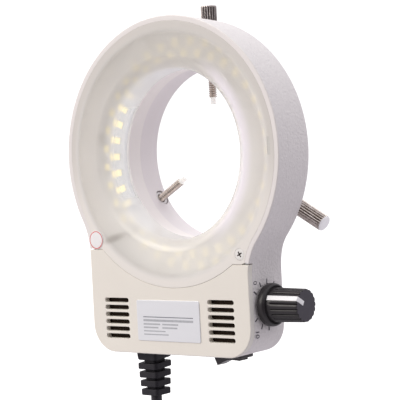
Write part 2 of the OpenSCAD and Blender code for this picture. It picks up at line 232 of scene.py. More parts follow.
MAT = {
    "powder_coat": material("powder_coat", (0.79, 0.755, 0.755), 0.42, var=0.03, var_scale=700, rough_var=0.10, rough_scale=800, bump=1.0, bump_scale=1050, bump_depth=0.36, wear=((0.88, 0.865, 0.86), 0.35)),
    "cover_paint": material("cover_paint", (0.803, 0.765, 0.697), 0.48, var=0.02, var_scale=50, rough_var=0.08, rough_scale=900, bump=0.45, bump_scale=1150, bump_depth=0.05, wear=((0.88, 0.865, 0.85), 0.35)),
    # painted light: a lighter copy of the collar paint for the bore's inner faces
    "collar_inner_painted_light": material("collar_inner_painted_light", (0.90, 0.855, 0.87), 0.5, var=0.02, var_scale=60, rough_var=0.08, rough_scale=900, bump=0.5, bump_scale=1150, bump_depth=0.05),
    "collar_paint": material("collar_paint", (0.80, 0.763, 0.767), 0.5, var=0.02, var_scale=60, rough_var=0.08, rough_scale=900, bump=0.5, bump_scale=1150, bump_depth=0.05),
    "label_foil": material("label_foil", (0.80, 0.812, 0.84), 0.32, metallic=0.2, var=0.02, var_scale=40, rough_var=0.03, stretch=(1, 1, 9), bump=0.03, bump_scale=700),
    "label_ink": material("label_ink", (0.16, 0.17, 0.20), 0.55, var=0.1, var_scale=700),
    "screw_steel": material("screw_steel", (0.46, 0.42, 0.38), 0.32, metallic=1.0, var=0.12, var_scale=600, rough_var=0.1, bump=0.2, bump_scale=2500),
    "screw_white": material("screw_white", (0.80, 0.785, 0.755), 0.45, var=0.03, var_scale=700, bump=0.2, bump_scale=2500),
    # painted shade for the cross recess of the diffuser screws
    "recess_painted_shade": material("recess_painted_shade", (0.075, 0.045, 0.030), 0.6, var=0.2, var_scale=1500),
    "insert_brass": material("insert_brass", (0.62, 0.47, 0.22), 0.35, metallic=1.0, var=0.1, var_scale=500, bump=0.15, bump_scale=2500),
    # painted glow for the back edge of the diffuser's sleeve
    "frosted_rim_glow": material("frosted_rim_glow", (0.96, 0.925, 0.905), 0.42, var=0.012, var_scale=70, rough_var=0.04, bump=0.06, bump_scale=600, bump_depth=0.03, spec=0.35, glow=((1.0, 0.94, 0.91), 0.14)),
    "gate_grey": material("gate_grey", (0.60, 0.585, 0.55), 0.5, var=0.05, var_scale=600, bump=0.1, bump_scale=1500),
    "rim_paint": material("rim_paint", (0.79, 0.752, 0.735), 0.45, var=0.02, var_scale=60, rough_var=0.08, rough_scale=900, bump=0.4, bump_scale=1150, bump_depth=0.05),
    # painted shade seen through the vent slots
    "screen_dark": material("screen_dark", (0.020, 0.012, 0.007), 0.8, var=0.2, var_scale=500, bump=0.4, bump_scale=2500, bump_depth=0.05, spec=0.15),
    # painted shade for the deep faces of the knob's flutes
    "knob_groove_shade": material("knob_groove_shade", (0.006, 0.005, 0.006), 0.8, var=0.2, var_scale=500, bump=0.2, bump_scale=3000, spec=0.1),
    "relief_rubber": material("relief_rubber", (0.019, 0.0175, 0.0225), 0.5, var=0.15, var_scale=400, rough_var=0.08, bump=0.3, bump_scale=2200, bump_depth=0.04, spec=0.3),
    "print_light": material("print_light", (0.43, 0.44, 0.47), 0.55, var=0.1, var_scale=700),
    # painted shade for the ear bosses, seen through the plate
    "boss_dark": material("boss_dark", (0.20, 0.18, 0.165), 0.5, var=0.08, var_scale=300, bump=0.2, bump_scale=1500),
    # painted light: a lighter copy of the housing paint with a faint glow, for the bore's inner faces
    "bore_painted_glow": material("bore_painted_glow", (0.92, 0.875, 0.865), 0.48, var=0.02, var_scale=60, rough_var=0.08, rough_scale=900, bump=0.4, bump_scale=1150, bump_depth=0.05, glow=((1.0, 0.97, 0.95), 0.05)),
    "insert_zinc": material("insert_zinc", (0.76, 0.735, 0.745), 0.4, metallic=0.3, var=0.05, var_scale=700, rough_var=0.08, bump=0.15, bump_scale=2500),
    "thread_nickel": material("thread_nickel", (0.76, 0.69, 0.63), 0.26, metallic=1.0, var=0.08, var_scale=500, rough_var=0.08, rough_scale=900, bump=0.1, bump_scale=3500, bump_depth=0.02, second=(0.62, 0.555, 0.495)),
    "paper_white": material("paper_white", (0.86, 0.85, 0.85), 0.6, var=0.02, var_scale=500, bump=0.3, bump_scale=2600, bump_depth=0.02),
    "seal_red": material("seal_red", (0.66, 0.10, 0.09), 0.55, var=0.12, var_scale=900),
    # painted glow: the lamp board gives off a faint light of its own
    "board_white": material("board_white", (0.84, 0.85, 0.87), 0.45, var=0.03, var_scale=200, bump=0.15, bump_scale=1500, glow=((0.90, 0.93, 1.0), 0.25)),
    "lamp_body": material("lamp_body", (0.86, 0.85, 0.82), 0.4, var=0.03, var_scale=600),
    "board_green": material("board_green", (0.03, 0.16, 0.07), 0.35, var=0.2, var_scale=350, bump=0.2, bump_scale=1800, second=(0.025, 0.12, 0.05)),
    "component_black": material("component_black", (0.02, 0.02, 0.022), 0.45, var=0.2, var_scale=500, bump=0.2, bump_scale=2500),
    "pot_metal": material("pot_metal", (0.55, 0.54, 0.52), 0.38, metallic=1.0, var=0.08, var_scale=500, bump=0.15, bump_scale=2500, stretch=(6, 1, 1)),
    "knob_black": material("knob_black", (0.022, 0.019, 0.021), 0.38, var=0.15, var_scale=500, rough_var=0.06, bump=0.2, bump_scale=3200, bump_depth=0.02, spec=0.5),
    "knob_face": material("knob_face", (0.055, 0.050, 0.064), 0.4, var=0.1, var_scale=700, rough_var=0.05, bump=0.3, bump_scale=3200, bump_depth=0.02),
    "pointer_white": material("pointer_white", (0.88, 0.88, 0.89), 0.4, var=0.02, var_scale=600, bump=0.15, bump_scale=2500),
    "print_grey": material("print_grey", (0.10, 0.095, 0.11), 0.6, var=0.15, var_scale=900),
    "switch_black": material("switch_black", (0.046, 0.043, 0.044), 0.42, var=0.15, var_scale=500, rough_var=0.08, bump=0.3, bump_scale=3000, bump_depth=0.03),
    "rocker_black": material("rocker_black", (0.042, 0.039, 0.040), 0.3, var=0.15, var_scale=500, rough_var=0.06, bump=0.2, bump_scale=3000),
    "lead_rubber": material("lead_rubber", (0.030, 0.027, 0.032), 0.46, var=0.15, var_scale=400, rough_var=0.08, bump=0.3, bump_scale=2200, bump_depth=0.04, sheen=0.05),
    "wire_red": material("wire_red", (0.55, 0.03, 0.03), 0.45, var=0.08, var_scale=500),
    "wire_dark": material("wire_dark", (0.02, 0.02, 0.022), 0.45, var=0.15, var_scale=500),
    "wire_yellow": material("wire_yellow", (0.70, 0.52, 0.05), 0.45, var=0.08, var_scale=500),
    # the nickel heads carry painted shade in their hollows
    "nickel": material("nickel", (0.70, 0.655, 0.63), 0.22, metallic=1.0, var=0.08, var_scale=500, rough_var=0.08, rough_scale=900, bump=0.1, bump_scale=3500, bump_depth=0.02, second=(0.46, 0.40, 0.35), hollow_shade=((0.16, 0.13, 0.12), 0.4)),
    # painted shade for the grooves of the thumbscrew knurls
    "knurl_groove_shade": material("knurl_groove_shade", (0.17, 0.143, 0.133), 0.4, metallic=0.8, var=0.1, var_scale=600, bump=0.1, bump_scale=2500),
    # painted highlight: the head's end face is near white with a faint glow
    "screw_end_glow": material("screw_end_glow", (0.94, 0.93, 0.95), 0.45, metallic=0.1, glow=((0.98, 0.97, 1.0), 0.10), var=0.04, var_scale=700, rough_var=0.08, bump=0.15, bump_scale=3500, bump_depth=0.02),
    # painted glow: the nylon tips give off a faint light of their own
    "nylon": material("nylon", (0.92, 0.91, 0.875), 0.42, glow=((1.0, 0.98, 0.94), 0.24), var=0.02, var_scale=500, bump=0.15, bump_scale=2500, subsurface=0.3),
    "tie_black": material("tie_black", (0.025, 0.025, 0.027), 0.75, var=0.2, var_scale=900, bump=0.6, bump_scale=2600, bump_depth=0.1, sheen=0.4),
    "plug_nickel": material("plug_nickel", (0.66, 0.65, 0.63), 0.2, metallic=1.0, var=0.05, var_scale=500, bump=0.1, bump_scale=3000),
    "floor_white": material("floor_white", (0.80, 0.80, 0.80), 0.8, var=0.006, var_scale=8, spec=0.05, glow=((1, 1, 1), 0.5)),
}


def lamp_material():
    mat = material("lamp_phosphor", (0.86, 0.72, 0.26), 0.5, var=0.06, var_scale=900, bump=0.2, bump_scale=3500)
    bsdf = mat.node_tree.nodes["Principled BSDF"]
    bsdf.inputs["Emission Color"].default_value = (1.0, 0.86, 0.46, 1)
    bsdf.inputs["Emission Strength"].default_value = 1.05
    return mat


MAT["lamp_phosphor"] = lamp_material()


def frosted_material():
    """Milky plastic: a matt front plate that clears towards the thin inner sleeve."""
    mat = material("frosted_plastic", (0.885, 0.86, 0.826), 0.25, var=0.02, var_scale=45, rough_var=0.02, bump=0.03, bump_scale=400, bump_depth=0.02, ior=1.4, spec=0.3)
    nt, nodes, links, bsdf = nodes_of(mat)
    coord = nodes.new("ShaderNodeTexCoord")
    split = nodes.new("ShaderNodeSeparateXYZ")
    links.new(coord.outputs["Object"], split.inputs["Vector"])

    def by_depth(front, back, near=-0.0212, far=-0.0150):
        m = nodes.new("ShaderNodeMapRange")
        m.interpolation_type = "SMOOTHSTEP"
        m.inputs["From Min"].default_value = near
        m.inputs["From Max"].default_value = far
        m.inputs["To Min"].default_value = front
        m.inputs["To Max"].default_value = back
        links.new(split.outputs["Y"], m.inputs["Value"])
        return m.outputs["Result"]

    flat = nodes.new("ShaderNodeVectorMath")
    flat.operation = "MULTIPLY"
    flat.inputs[1].default_value = (1, 0, 1)
    links.new(coord.outputs["Object"], flat.inputs[0])
    reach = nodes.new("ShaderNodeVectorMath")
    reach.operation = "LENGTH"
    links.new(flat.outputs["Vector"], reach.inputs[0])

    def ranged(socket, a, b, va, vb, soft=True):
        m = nodes.new("ShaderNodeMapRange")
        if soft:
            m.interpolation_type = "SMOOTHSTEP"
        m.inputs["From Min"].default_value = a
        m.inputs["From Max"].default_value = b
        m.inputs["To Min"].default_value = va
        m.inputs["To Max"].default_value = vb
        links.new(socket, m.inputs["Value"])
        return m.outputs["Result"]

    def maths(kind, a, b):
        m = nodes.new("ShaderNodeMath")
        m.operation = kind
        links.new(a, m.inputs[0])
        links.new(b, m.inputs[1])
        return m.outputs["Value"]

    # the flange on the ledge lets no light through
    # and the sleeve is milkier above and below than at the sides
    clear = maths("MULTIPLY", ranged(split.outputs["Z"], -0.022, -0.014, 0.30, 1.0), ranged(split.outputs["Z"], 0.017, 0.027, 1.0, 0.45))
    passing = maths("ADD", by_depth(0.50, 0.0), maths("MULTIPLY", by_depth(0.0, 0.76), clear))
    links.new(maths("MULTIPLY", passing, ranged(reach.outputs["Value"], 0.0432, 0.0466, 1.0, 0.0)), bsdf.inputs["Transmission Weight"])

    def blend(a, b, factor):
        m = nodes.new("ShaderNodeMix")
        m.data_type = "RGBA"
        for socket, v in (("A", a), ("B", b)):
            if isinstance(v, tuple):
                m.inputs[socket].default_value = v
            else:
                links.new(v, m.inputs[socket])
        links.new(factor, m.inputs["Factor"])
        return m.outputs["Result"]

    # painted shade: the opaque flange takes a darker colour, lighter towards the bottom and darker towards the top
    flange = blend((0.66, 0.63, 0.594, 1), (0.82, 0.787, 0.742, 1), ranged(split.outputs["Z"], 0.006, -0.026, 0.0, 1.0))
    tint = blend(bsdf.inputs["Base Color"].links[0].from_socket, flange, ranged(reach.outputs["Value"], 0.0445, 0.0466, 0.0, 1.0))
    # painted shade: the front plate darkens towards its top
    tint = blend(tint, (0.66, 0.635, 0.60, 1), maths("MULTIPLY", ranged(split.outputs["Z"], 0.0, 0.042, 0.0, 0.5), by_depth(1.0, 0.1)))
    # painted highlight: a pinkish band on the right side of the inner lip, with a little glow added below
    band = maths("MULTIPLY", ranged(reach.outputs["Value"], 0.0325, 0.0352, 0.0, 1.0), ranged(reach.outputs["Value"], 0.0352, 0.0395, 1.0, 0.0))
    side = maths("MULTIPLY", band, ranged(split.outputs["X"], 0.014, 0.028, 0.0, 1.0))
    tint = blend(tint, (0.885, 0.845, 0.91, 1), side)
    # a painted shadow of the lamp leads: a soft dark patch on the plastic beside the left ear
    lead_shadow_patch = nodes.new("ShaderNodeMapping")
    lead_shadow_patch.vector_type = "TEXTURE"
    lead_shadow_patch.inputs["Location"].default_value = (-0.0283, -0.0213, -0.0302)
    lead_shadow_patch.inputs["Rotation"].default_value = (0, -rad(14), 0)
    lead_shadow_patch.inputs["Scale"].default_value = (0.0078, 0.0012, 0.0021)
    links.new(coord.outputs["Object"], lead_shadow_patch.inputs["Vector"])
    near = nodes.new("ShaderNodeVectorMath")
    near.operation = "LENGTH"
    links.new(lead_shadow_patch.outputs["Vector"], near.inputs[0])
    tint = blend(tint, (0.52, 0.48, 0.44, 1), ranged(near.outputs["Value"], 1.0, 0.15, 0.0, 0.75))
    links.new(tint, bsdf.inputs["Base Color"])
    times = nodes.new("ShaderNodeMath")
    times.operation = "MULTIPLY"
    links.new(bsdf.inputs["Roughness"].links[0].from_socket, times.inputs[0])
    links.new(by_depth(0.88, 0.65), times.inputs[1])
    links.new(times.outputs["Value"], bsdf.inputs["Roughness"])
    # painted glow: emission stands in for lamp light gathered in the plastic, along the lip and in the lower half of
    # the plate, and adds to the painted highlight on the lip's right side
    links.new(blend((0.98, 0.97, 0.91, 1), (0.86, 0.91, 1.0, 1), by_depth(0.0, 1.0, -0.0195, -0.0145)), bsdf.inputs["Emission Color"])
    fall = ranged(split.outputs["Z"], 0.012, -0.038, 0.0, 0.28, False)
    low = maths("MULTIPLY", maths("MULTIPLY", fall, fall), maths("MULTIPLY", by_depth(1.0, 0.0), ranged(reach.outputs["Value"], 0.042, 0.0472, 1.0, 0.0)))
    lip = maths("MULTIPLY", by_depth(0.0, 0.125, -0.0214, -0.0165), maths("MULTIPLY", ranged(split.outputs["Z"], -0.025, -0.033, 1.0, 0.0), ranged(split.outputs["X"], 0.010, 0.026, 1.0, 0.6)))
    links.new(maths("ADD", maths("ADD", lip, low), ranged(side, 0.0, 1.0, 0.0, 0.085, False)), bsdf.inputs["Emission Strength"])
    return mat


MAT["frosted_plastic"] = frosted_material()


# ---------------------------------------------------------------- mesh tools
def shade(me, angle):
    me.polygons.foreach_set("use_smooth", [True] * len(me.polygons))
    me.set_sharp_from_angle(angle=rad(angle))
    me.update()


def piece(name, verts, faces, body, slot, nodes, mat, angle=38, merge=True):
    """A new mesh piece from millimetre points, closed and with outward normals."""
    me = bpy.data.meshes.new(name)
    me.from_pydata([tuple(c * MM for c in v) for v in verts], [], faces)
    bm = bmesh.new()
    bm.from_mesh(me)
    if merge:
        bmesh.ops.remove_doubles(bm, verts=bm.verts[:], dist=2e-7)
    bmesh.ops.dissolve_degenerate(bm, edges=bm.edges[:], dist=1e-8)
    bmesh.ops.recalc_face_normals(bm, faces=bm.faces[:])
    bm.to_mesh(me)
    bm.free()
    shade(me, angle)
    ob = bpy.data.objects.new(name, me)
    scene.collection.objects.link(ob)
    me.materials.append(MAT[mat])
    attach(ob, body)
    if nodes:
        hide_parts(*nodes)
    return ob


def loft(rings, closed=False, caps=True):
    """Joins rings of equal length; a ring of one point closes to a tip."""
    verts, rows = [], []
    for ring in rings:
        rows.append(list(range(len(verts), len(verts) + len(ring))))
        verts += [tuple(p) for p in ring]
    faces = []
    pairs = list(zip(rows, rows[1:])) + ([(rows[-1], rows[0])] if closed else [])
    for a, b in pairs:
        if len(a) == 1 and len(b) == 1:
            continue
        n = max(len(a), len(b))
        for k in range(n):
            j = (k + 1) % n
            if len(a) == 1:
                faces.append((a[0], b[k], b[j]))
            elif len(b) == 1:
                faces.append((a[k], a[j], b[0]))
            else:
                faces.append((a[k], a[j], b[j], b[k]))
    if caps and not closed:
        if len(rows[0]) > 1:
            faces.append(tuple(reversed(rows[0])))
        if len(rows[-1]) > 1:
            faces.append(tuple(rows[-1]))
    return verts, faces


def turned(profile, n, origin, axis, ref, rmod=None):
    """Rings of a turned shape: profile is (radius, height along the axis)."""
    o, a, e1 = Vector(origin), Vector(axis).normalized(), Vector(ref).normalized()
    e2 = a.cross(e1)
    rings = []
    for r, h in profile:
        if r < 1e-6:
            rings.append([o + a * h])
            continue
        ring = []
        for k in range(n):
            t = 2 * math.pi * k / n
            rr = rmod(r, h, t) if rmod else r
            ring.append(o + a * h + (e1 * math.cos(t) + e2 * math.sin(t)) * rr)
        rings.append(ring)
    return rings


def rounded_rect(cx, cy, hx, hy, r, steps=6):
    """Corner-rounded rectangle, anticlockwise, as plane points."""
    pts = []
    r = min(r, hx, hy)
    for qx, qy, a0 in ((1, 1, 0), (-1, 1, 90), (-1, -1, 180), (1, -1, 270)):
        for k in range(steps + 1):
            c, s = cs(a0 + 90 * k / steps)
            pts.append((cx + qx * (hx - r) + r * c, cy + qy * (hy - r) + r * s))
    return pts


def cutter(verts, faces):
    me = bpy.data.meshes.new("cutter")
    me.from_pydata([tuple(c * MM for c in v) for v in verts], [], faces)
    bm = bmesh.new()
    bm.from_mesh(me)
    bmesh.ops.recalc_face_normals(bm, faces=bm.faces[:])
    bm.to_mesh(me)
    bm.free()
    ob = bpy.data.objects.new("cutter", me)
    scene.collection.objects.link(ob)
    return ob


def cut(ob, cutters, angle=38):
    for c in cutters:
        m = ob.modifiers.new("cut", "BOOLEAN")
        m.operation = "DIFFERENCE"
        m.solver = "EXACT"
        m.object = c
    dg = bpy.context.evaluated_depsgraph_get()
    me = bpy.data.meshes.new_from_object(ob.evaluated_get(dg))
    ob.modifiers.clear()
    old, mats = ob.data, [m for m in ob.data.materials]
    name = old.name
    ob.data = me
    bpy.data.meshes.remove(old)
    me.name = name
    me.materials.clear()
    for m in mats:
        me.materials.append(m)
    me.polygons.foreach_set("material_index", [0] * len(me.polygons))
    bm = bmesh.new()
    bm.from_mesh(me)
    bmesh.ops.remove_doubles(bm, verts=bm.verts[:], dist=5e-7)
    bmesh.ops.dissolve_degenerate(bm, edges=bm.edges[:], dist=1e-7)
    bm.to_mesh(me)
    bm.free()
    shade(me, angle)
    for c in cutters:
        data = c.data
        bpy.data.objects.remove(c)
        bpy.data.meshes.remove(data)


def rod(origin, axis, ref, r, h0, h1, n=48):
    return loft(turned([(r, h0), (r, h1)], n, origin, axis, ref))


def block(x0, x1, y0, y1, z0, z1):
    v = [(x, y, z) for x in (x0, x1) for y in (y0, y1) for z in (z0, z1)]
    return v, [(0, 1, 3, 2), (4, 6, 7, 5), (0, 4, 5, 1), (2, 3, 7, 6), (0, 2, 6, 4), (1, 5, 7, 3)]


def bevelled(ob, width, angle=40, segments=2, shade_angle=38):
    """Rounds the sharp edges of a finished piece."""
    me = ob.data
    bm = bmesh.new()
    bm.from_mesh(me)
    edges = [e for e in bm.edges if len(e.link_faces) == 2 and e.calc_face_angle(0) > rad(angle)]
    bmesh.ops.bevel(bm, geom=edges, offset=width * MM, segments=segments, profile=0.5, affect="EDGES", clamp_overlap=True)
    bmesh.ops.recalc_face_normals(bm, faces=bm.faces[:])
    bm.to_mesh(me)
    bm.free()
    shade(me, shade_angle)


def tube(points, r, n=12, steps=6):
    """A round wire through the points, bent smoothly."""
    P = [Vector(q) for q in points]
    line = []
    for k in range(len(P) - 1):
        a, b, c, d = P[max(k - 1, 0)], P[k], P[k + 1], P[min(k + 2, len(P) - 1)]
        for i in range(steps):
            t = i / steps
            line.append(0.5 * (2 * b + (c - a) * t + (2 * a - 5 * b + 4 * c - d) * t * t + (3 * b - a - 3 * c + d) * t**3))
    line.append(P[-1])
    side = Vector((1, 0, 0))
    rings = []
    for k, q in enumerate(line):
        along = (line[min(k + 1, len(line) - 1)] - line[max(k - 1, 0)]).normalized()
        side = (side - along * side.dot(along)).normalized()
        up = along.cross(side)
        rings.append([q + (side * math.cos(2 * math.pi * i / n) + up * math.sin(2 * math.pi * i / n)) * r for i in range(n)])
    return loft(rings)


def joined(parts):
    verts, faces = [], []
    for v, f in parts:
        n = len(verts)
        verts += [tuple(p) for p in v]
        faces += [tuple(i + n for i in q) for q in f]
    return verts, faces


# ---------------------------------------------------------------- the lead
CORD_D = 4.2
RELIEF = (-20.2, -11.1)
COIL = (-1.25, 10.9)


def lead_points():
    pts = [(RELIEF[0], RELIEF[1], z) for z in (-88.7, -93, -97, -102, -107, -112, -116.3)]
    for k in range(1, 18):
        c, s = cs(5 * k)
        pts.append((RELIEF[0], RELIEF[1] + 22 - 22 * c, -116.3 - 22 * s))
    level = (-138.3, -142.65, -147.0)
    radius = {"C": 18.95, "B": 23.3, "A": 27.65}
    # the layer and level that each turn leaves, the ones it goes to, and where in the turn it changes
    moves = [
        ("C", 0, "C", 1, 240), ("C", 1, "C", 2, 240), ("C", 2, "B", 2, 180), ("B", 2, "B", 1, 120),
        ("B", 1, "B", 0, 120), ("B", 0, "A", 0, 60), ("A", 0, "A", 1, 0), ("A", 1, "A", 2, 0),
    ]
    for k in range(0, 466):
        s = 6.0 * k
        turn = min(7, int(s // 360))
        la, va, lb, vb, w = moves[turn]
        t = smooth01((s - 360 * turn - w) / 60)
        r = radius[la] * (1 - t) + radius[lb] * t
        z = level[va] * (1 - t) + level[vb] * t
        c, q = cs(180 - s)
        pts.append((COIL[0] + r * c, COIL[1] + r * q, z))
        if s >= 2790:
            break
    pts += [(-5, -16.75, -147), (-9, -16.75, -146.8), (-13, -16.75, -146.2), (-16.5, -16.75, -145.5), (-18.5, -16.75, -145.2), (-20, -16.75, -145.2)]
    return pts


def make_lead():
    pts = lead_points()
    cu = bpy.data.curves.new("lead", "CURVE")
    cu.dimensions = "3D"
    cu.bevel_depth = CORD_D / 2 * MM
    cu.bevel_resolution = 5
    cu.use_fill_caps = True
    sp = cu.splines.new("POLY")
    sp.points.add(len(pts) - 1)
    for p, q in zip(sp.points, pts):
        p.co = (q[0] * MM, q[1] * MM, q[2] * MM, 1)
    sp.use_smooth = True
    ob = bpy.data.objects.new("lead", cu)
    scene.collection.objects.link(ob)
    cu.materials.append(MAT["lead_rubber"])
    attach(ob, "frame")
    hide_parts("cord_lead", "cord_coil", "cord_tail")
    length = sum((Vector(a) - Vector(b)).length for a, b in zip(pts, pts[1:])) * MM
    return ob, length


lead, LEAD_LENGTH = make_lead()


def make_plug():
    o, a, e = (0, -16.75, -145.2), (-1, 0, 0), (0, 0, 1)
    body = [(0, 20.0), (2.5, 20.0), (2.8, 20.3)]
    for k in range(5):
        h = 21.1 + 1.75 * k
        r = 3.0 + 0.17 * k
        body += [(r, h), (r, h + 0.75), (r - 0.55, h + 0.95), (r - 0.5, h + 1.55)]
    body += [(4.1, 29.9), (4.62, 30.5), (4.75, 31.2), (4.78, 33.0), (4.45, 33.4), (4.45, 34.2), (4.78, 34.6), (4.78, 36.2), (4.45, 36.6), (4.45, 37.4), (4.78, 37.8), (4.78, 39.4), (4.45, 39.8), (4.45, 40.6), (4.78, 41.0), (4.78, 45.0), (4.6, 45.6), (4.2, 46.0), (0, 46.0)]
    plug = piece("plug_grip", *loft(turned(body, 48, o, a, e)), "frame", "lead_rubber", ["plug_body"], "lead_rubber")
    shell = [(0, 46.8), (2.3, 46.8), (2.3, 55.35), (2.45, 55.5), (2.6, 55.5), (2.75, 55.3), (2.75, 49.2), (2.66, 49.05), (2.66, 48.75), (2.75, 48.6), (2.75, 46.0), (0, 46.0)]
    barrel = piece("plug_shell", *loft(turned(shell, 48, o, a, e)), "frame", "plug_nickel", ["plug_barrel"], "plug_nickel")
    core = [(0, 47.8), (1.1, 47.8), (1.1, 54.9), (1.35, 55.25), (2.0, 55.3), (2.25, 55.05), (2.25, 46.8), (0, 46.8)]
    inner = piece("plug_core", *loft(turned(core, 40, o, a, e)), "frame", "component_black", ["plug_insulator"], "component_black")
    return [plug, barrel, inner]


plug_pieces = make_plug()


def make_tie():
    er, et = Vector((*cs(40), 0)), Vector((*cs(130), 0))
    base = Vector((COIL[0], COIL[1], 0))
    cx, cz = 23.3, -142.65

    def ring(grow, t):
        return [base + er * x + et * t + Vector((0, 0, z)) for x, z in rounded_rect(cx, cz, 6.62 + grow, 6.62 + grow, 2.3 + grow, 5)]

    rows = [ring(0, -2.9), ring(0, 2.9), ring(0.1, 3.0), ring(0.38, 3.0), ring(0.48, 2.9), ring(0.48, -2.9), ring(0.38, -3.0), ring(0.1, -3.0)]
    strap = loft(rows, closed=True)
    # the strap's free end, which lies over its own top
    flap = []
    for t, zz in ((-2.6, 0.0), (2.6, 0.0), (2.6, 0.42), (-2.6, 0.42)):
        flap.append([base + er * x + et * t + Vector((0, 0, -135.56 + zz * w)) for x, w in ((18.6, 0.6), (20, 1), (23, 1), (26, 1), (27.6, 0.6))])
    verts, faces = [], []
    for row in flap:
        verts += row
    n = 5
    for j in range(4):
        a, b = j * n, ((j + 1) % 4) * n
        for k in range(n - 1):
            faces.append((a + k, a + k + 1, b + k + 1, b + k))
    faces += [(0, n, 2 * n, 3 * n), (n - 1, 2 * n - 1, 3 * n - 1, 4 * n - 1)]
    return piece("lead_tie", *joined([strap, (verts, faces)]), "frame", "tie_black", ["coil_tie"], "tie_black")


make_tie()


# ---------------------------------------------------------------- housing
RING_R, DEPTH, WALL = 50.0, 21.3, 1.9
STEP_R, STEP_L = -39.6, -34.0


def outline_samples(right_cut=STEP_R, left_cut=STEP_L):
    """The keyhole outline, anticlockwise from the right neck: kind, place on it, and whether the cover lies there."""
    out = []
    for k in range(176):
        out.append(("ring", -39.2 + 247.3 * k / 175, "A"))
    phi = math.degrees(math.asin((left_cut + 35.78) / 26))
    out += [("lf", 28.1 + (phi - 28.1) * k / 12, "A") for k in range(1, 13)]
    out += [("lf", phi * (1 - k / 4), "B") for k in range(0, 4)]
    out += [("ls", -35.78 + (-62.4 + 35.78) * k / 12, "B") for k in range(12)]
    out += [("cl", 180 + 90 * k / 16, "B") for k in range(16)]
    out += [("bt", -30.55 + 54.3 * k / 20, "B") for k in range(20)]
    out += [("cr", 270 + 90 * k / 16, "B") for k in range(16)]
    out += [("rs", -62.4 + (62.4 - 44.24) * k / 8, "B") for k in range(8)]
    phi = math.degrees(math.asin((right_cut + 44.24) / 20))
    out += [("rf", phi * k / 6, "B") for k in range(0, 7)]
    out += [("rf", phi + (39.2 - phi) * k / 14, "A") for k in range(0, 14)]
    return out


def outline_at(s, d):
    kind, v, _ = s
    if kind == "ring":
        c, q = cs(v)
        return (RING_R - d) * c, (RING_R - d) * q
    if kind == "lf":
        c, q = cs(v)
        return -67.05 + (26 + d) * c, -35.78 + (26 + d) * q
    if kind == "ls":
        return -41.05 + d, v
    if kind == "cl":
        c, q = cs(v)
        return -30.55 + (10.5 - d) * c, -62.4 + (10.5 - d) * q
    if kind == "bt":
        return v, -72.9 + d
    if kind == "cr":
        c, q = cs(v)
        return 23.75 + (10.5 - d) * c, -62.4 + (10.5 - d) * q
    if kind == "rs":
        return 34.25 - d, v
    c, q = cs(v)
    return 54.25 - (20 + d) * c, -44.24 + (20 + d) * q


def back_edge(w):
    """Draw-in at the back and radius of the back edge: w is 1 on the box and 0 on the ring."""
    return 0.3 * w + 0.75 * (1 - w), 2.0 * w + 3.8 * (1 - w)


def draft(y, w=1.0):
    """How far the cast side has drawn in at depth y."""
    d, r = back_edge(w)
    if y <= -20.5:
        return 0.0
    if y <= -r:
        return d * (y + 20.5) / (20.5 - r)
    return d + r - math.sqrt(max(0.0, r * r - (y + r) ** 2))


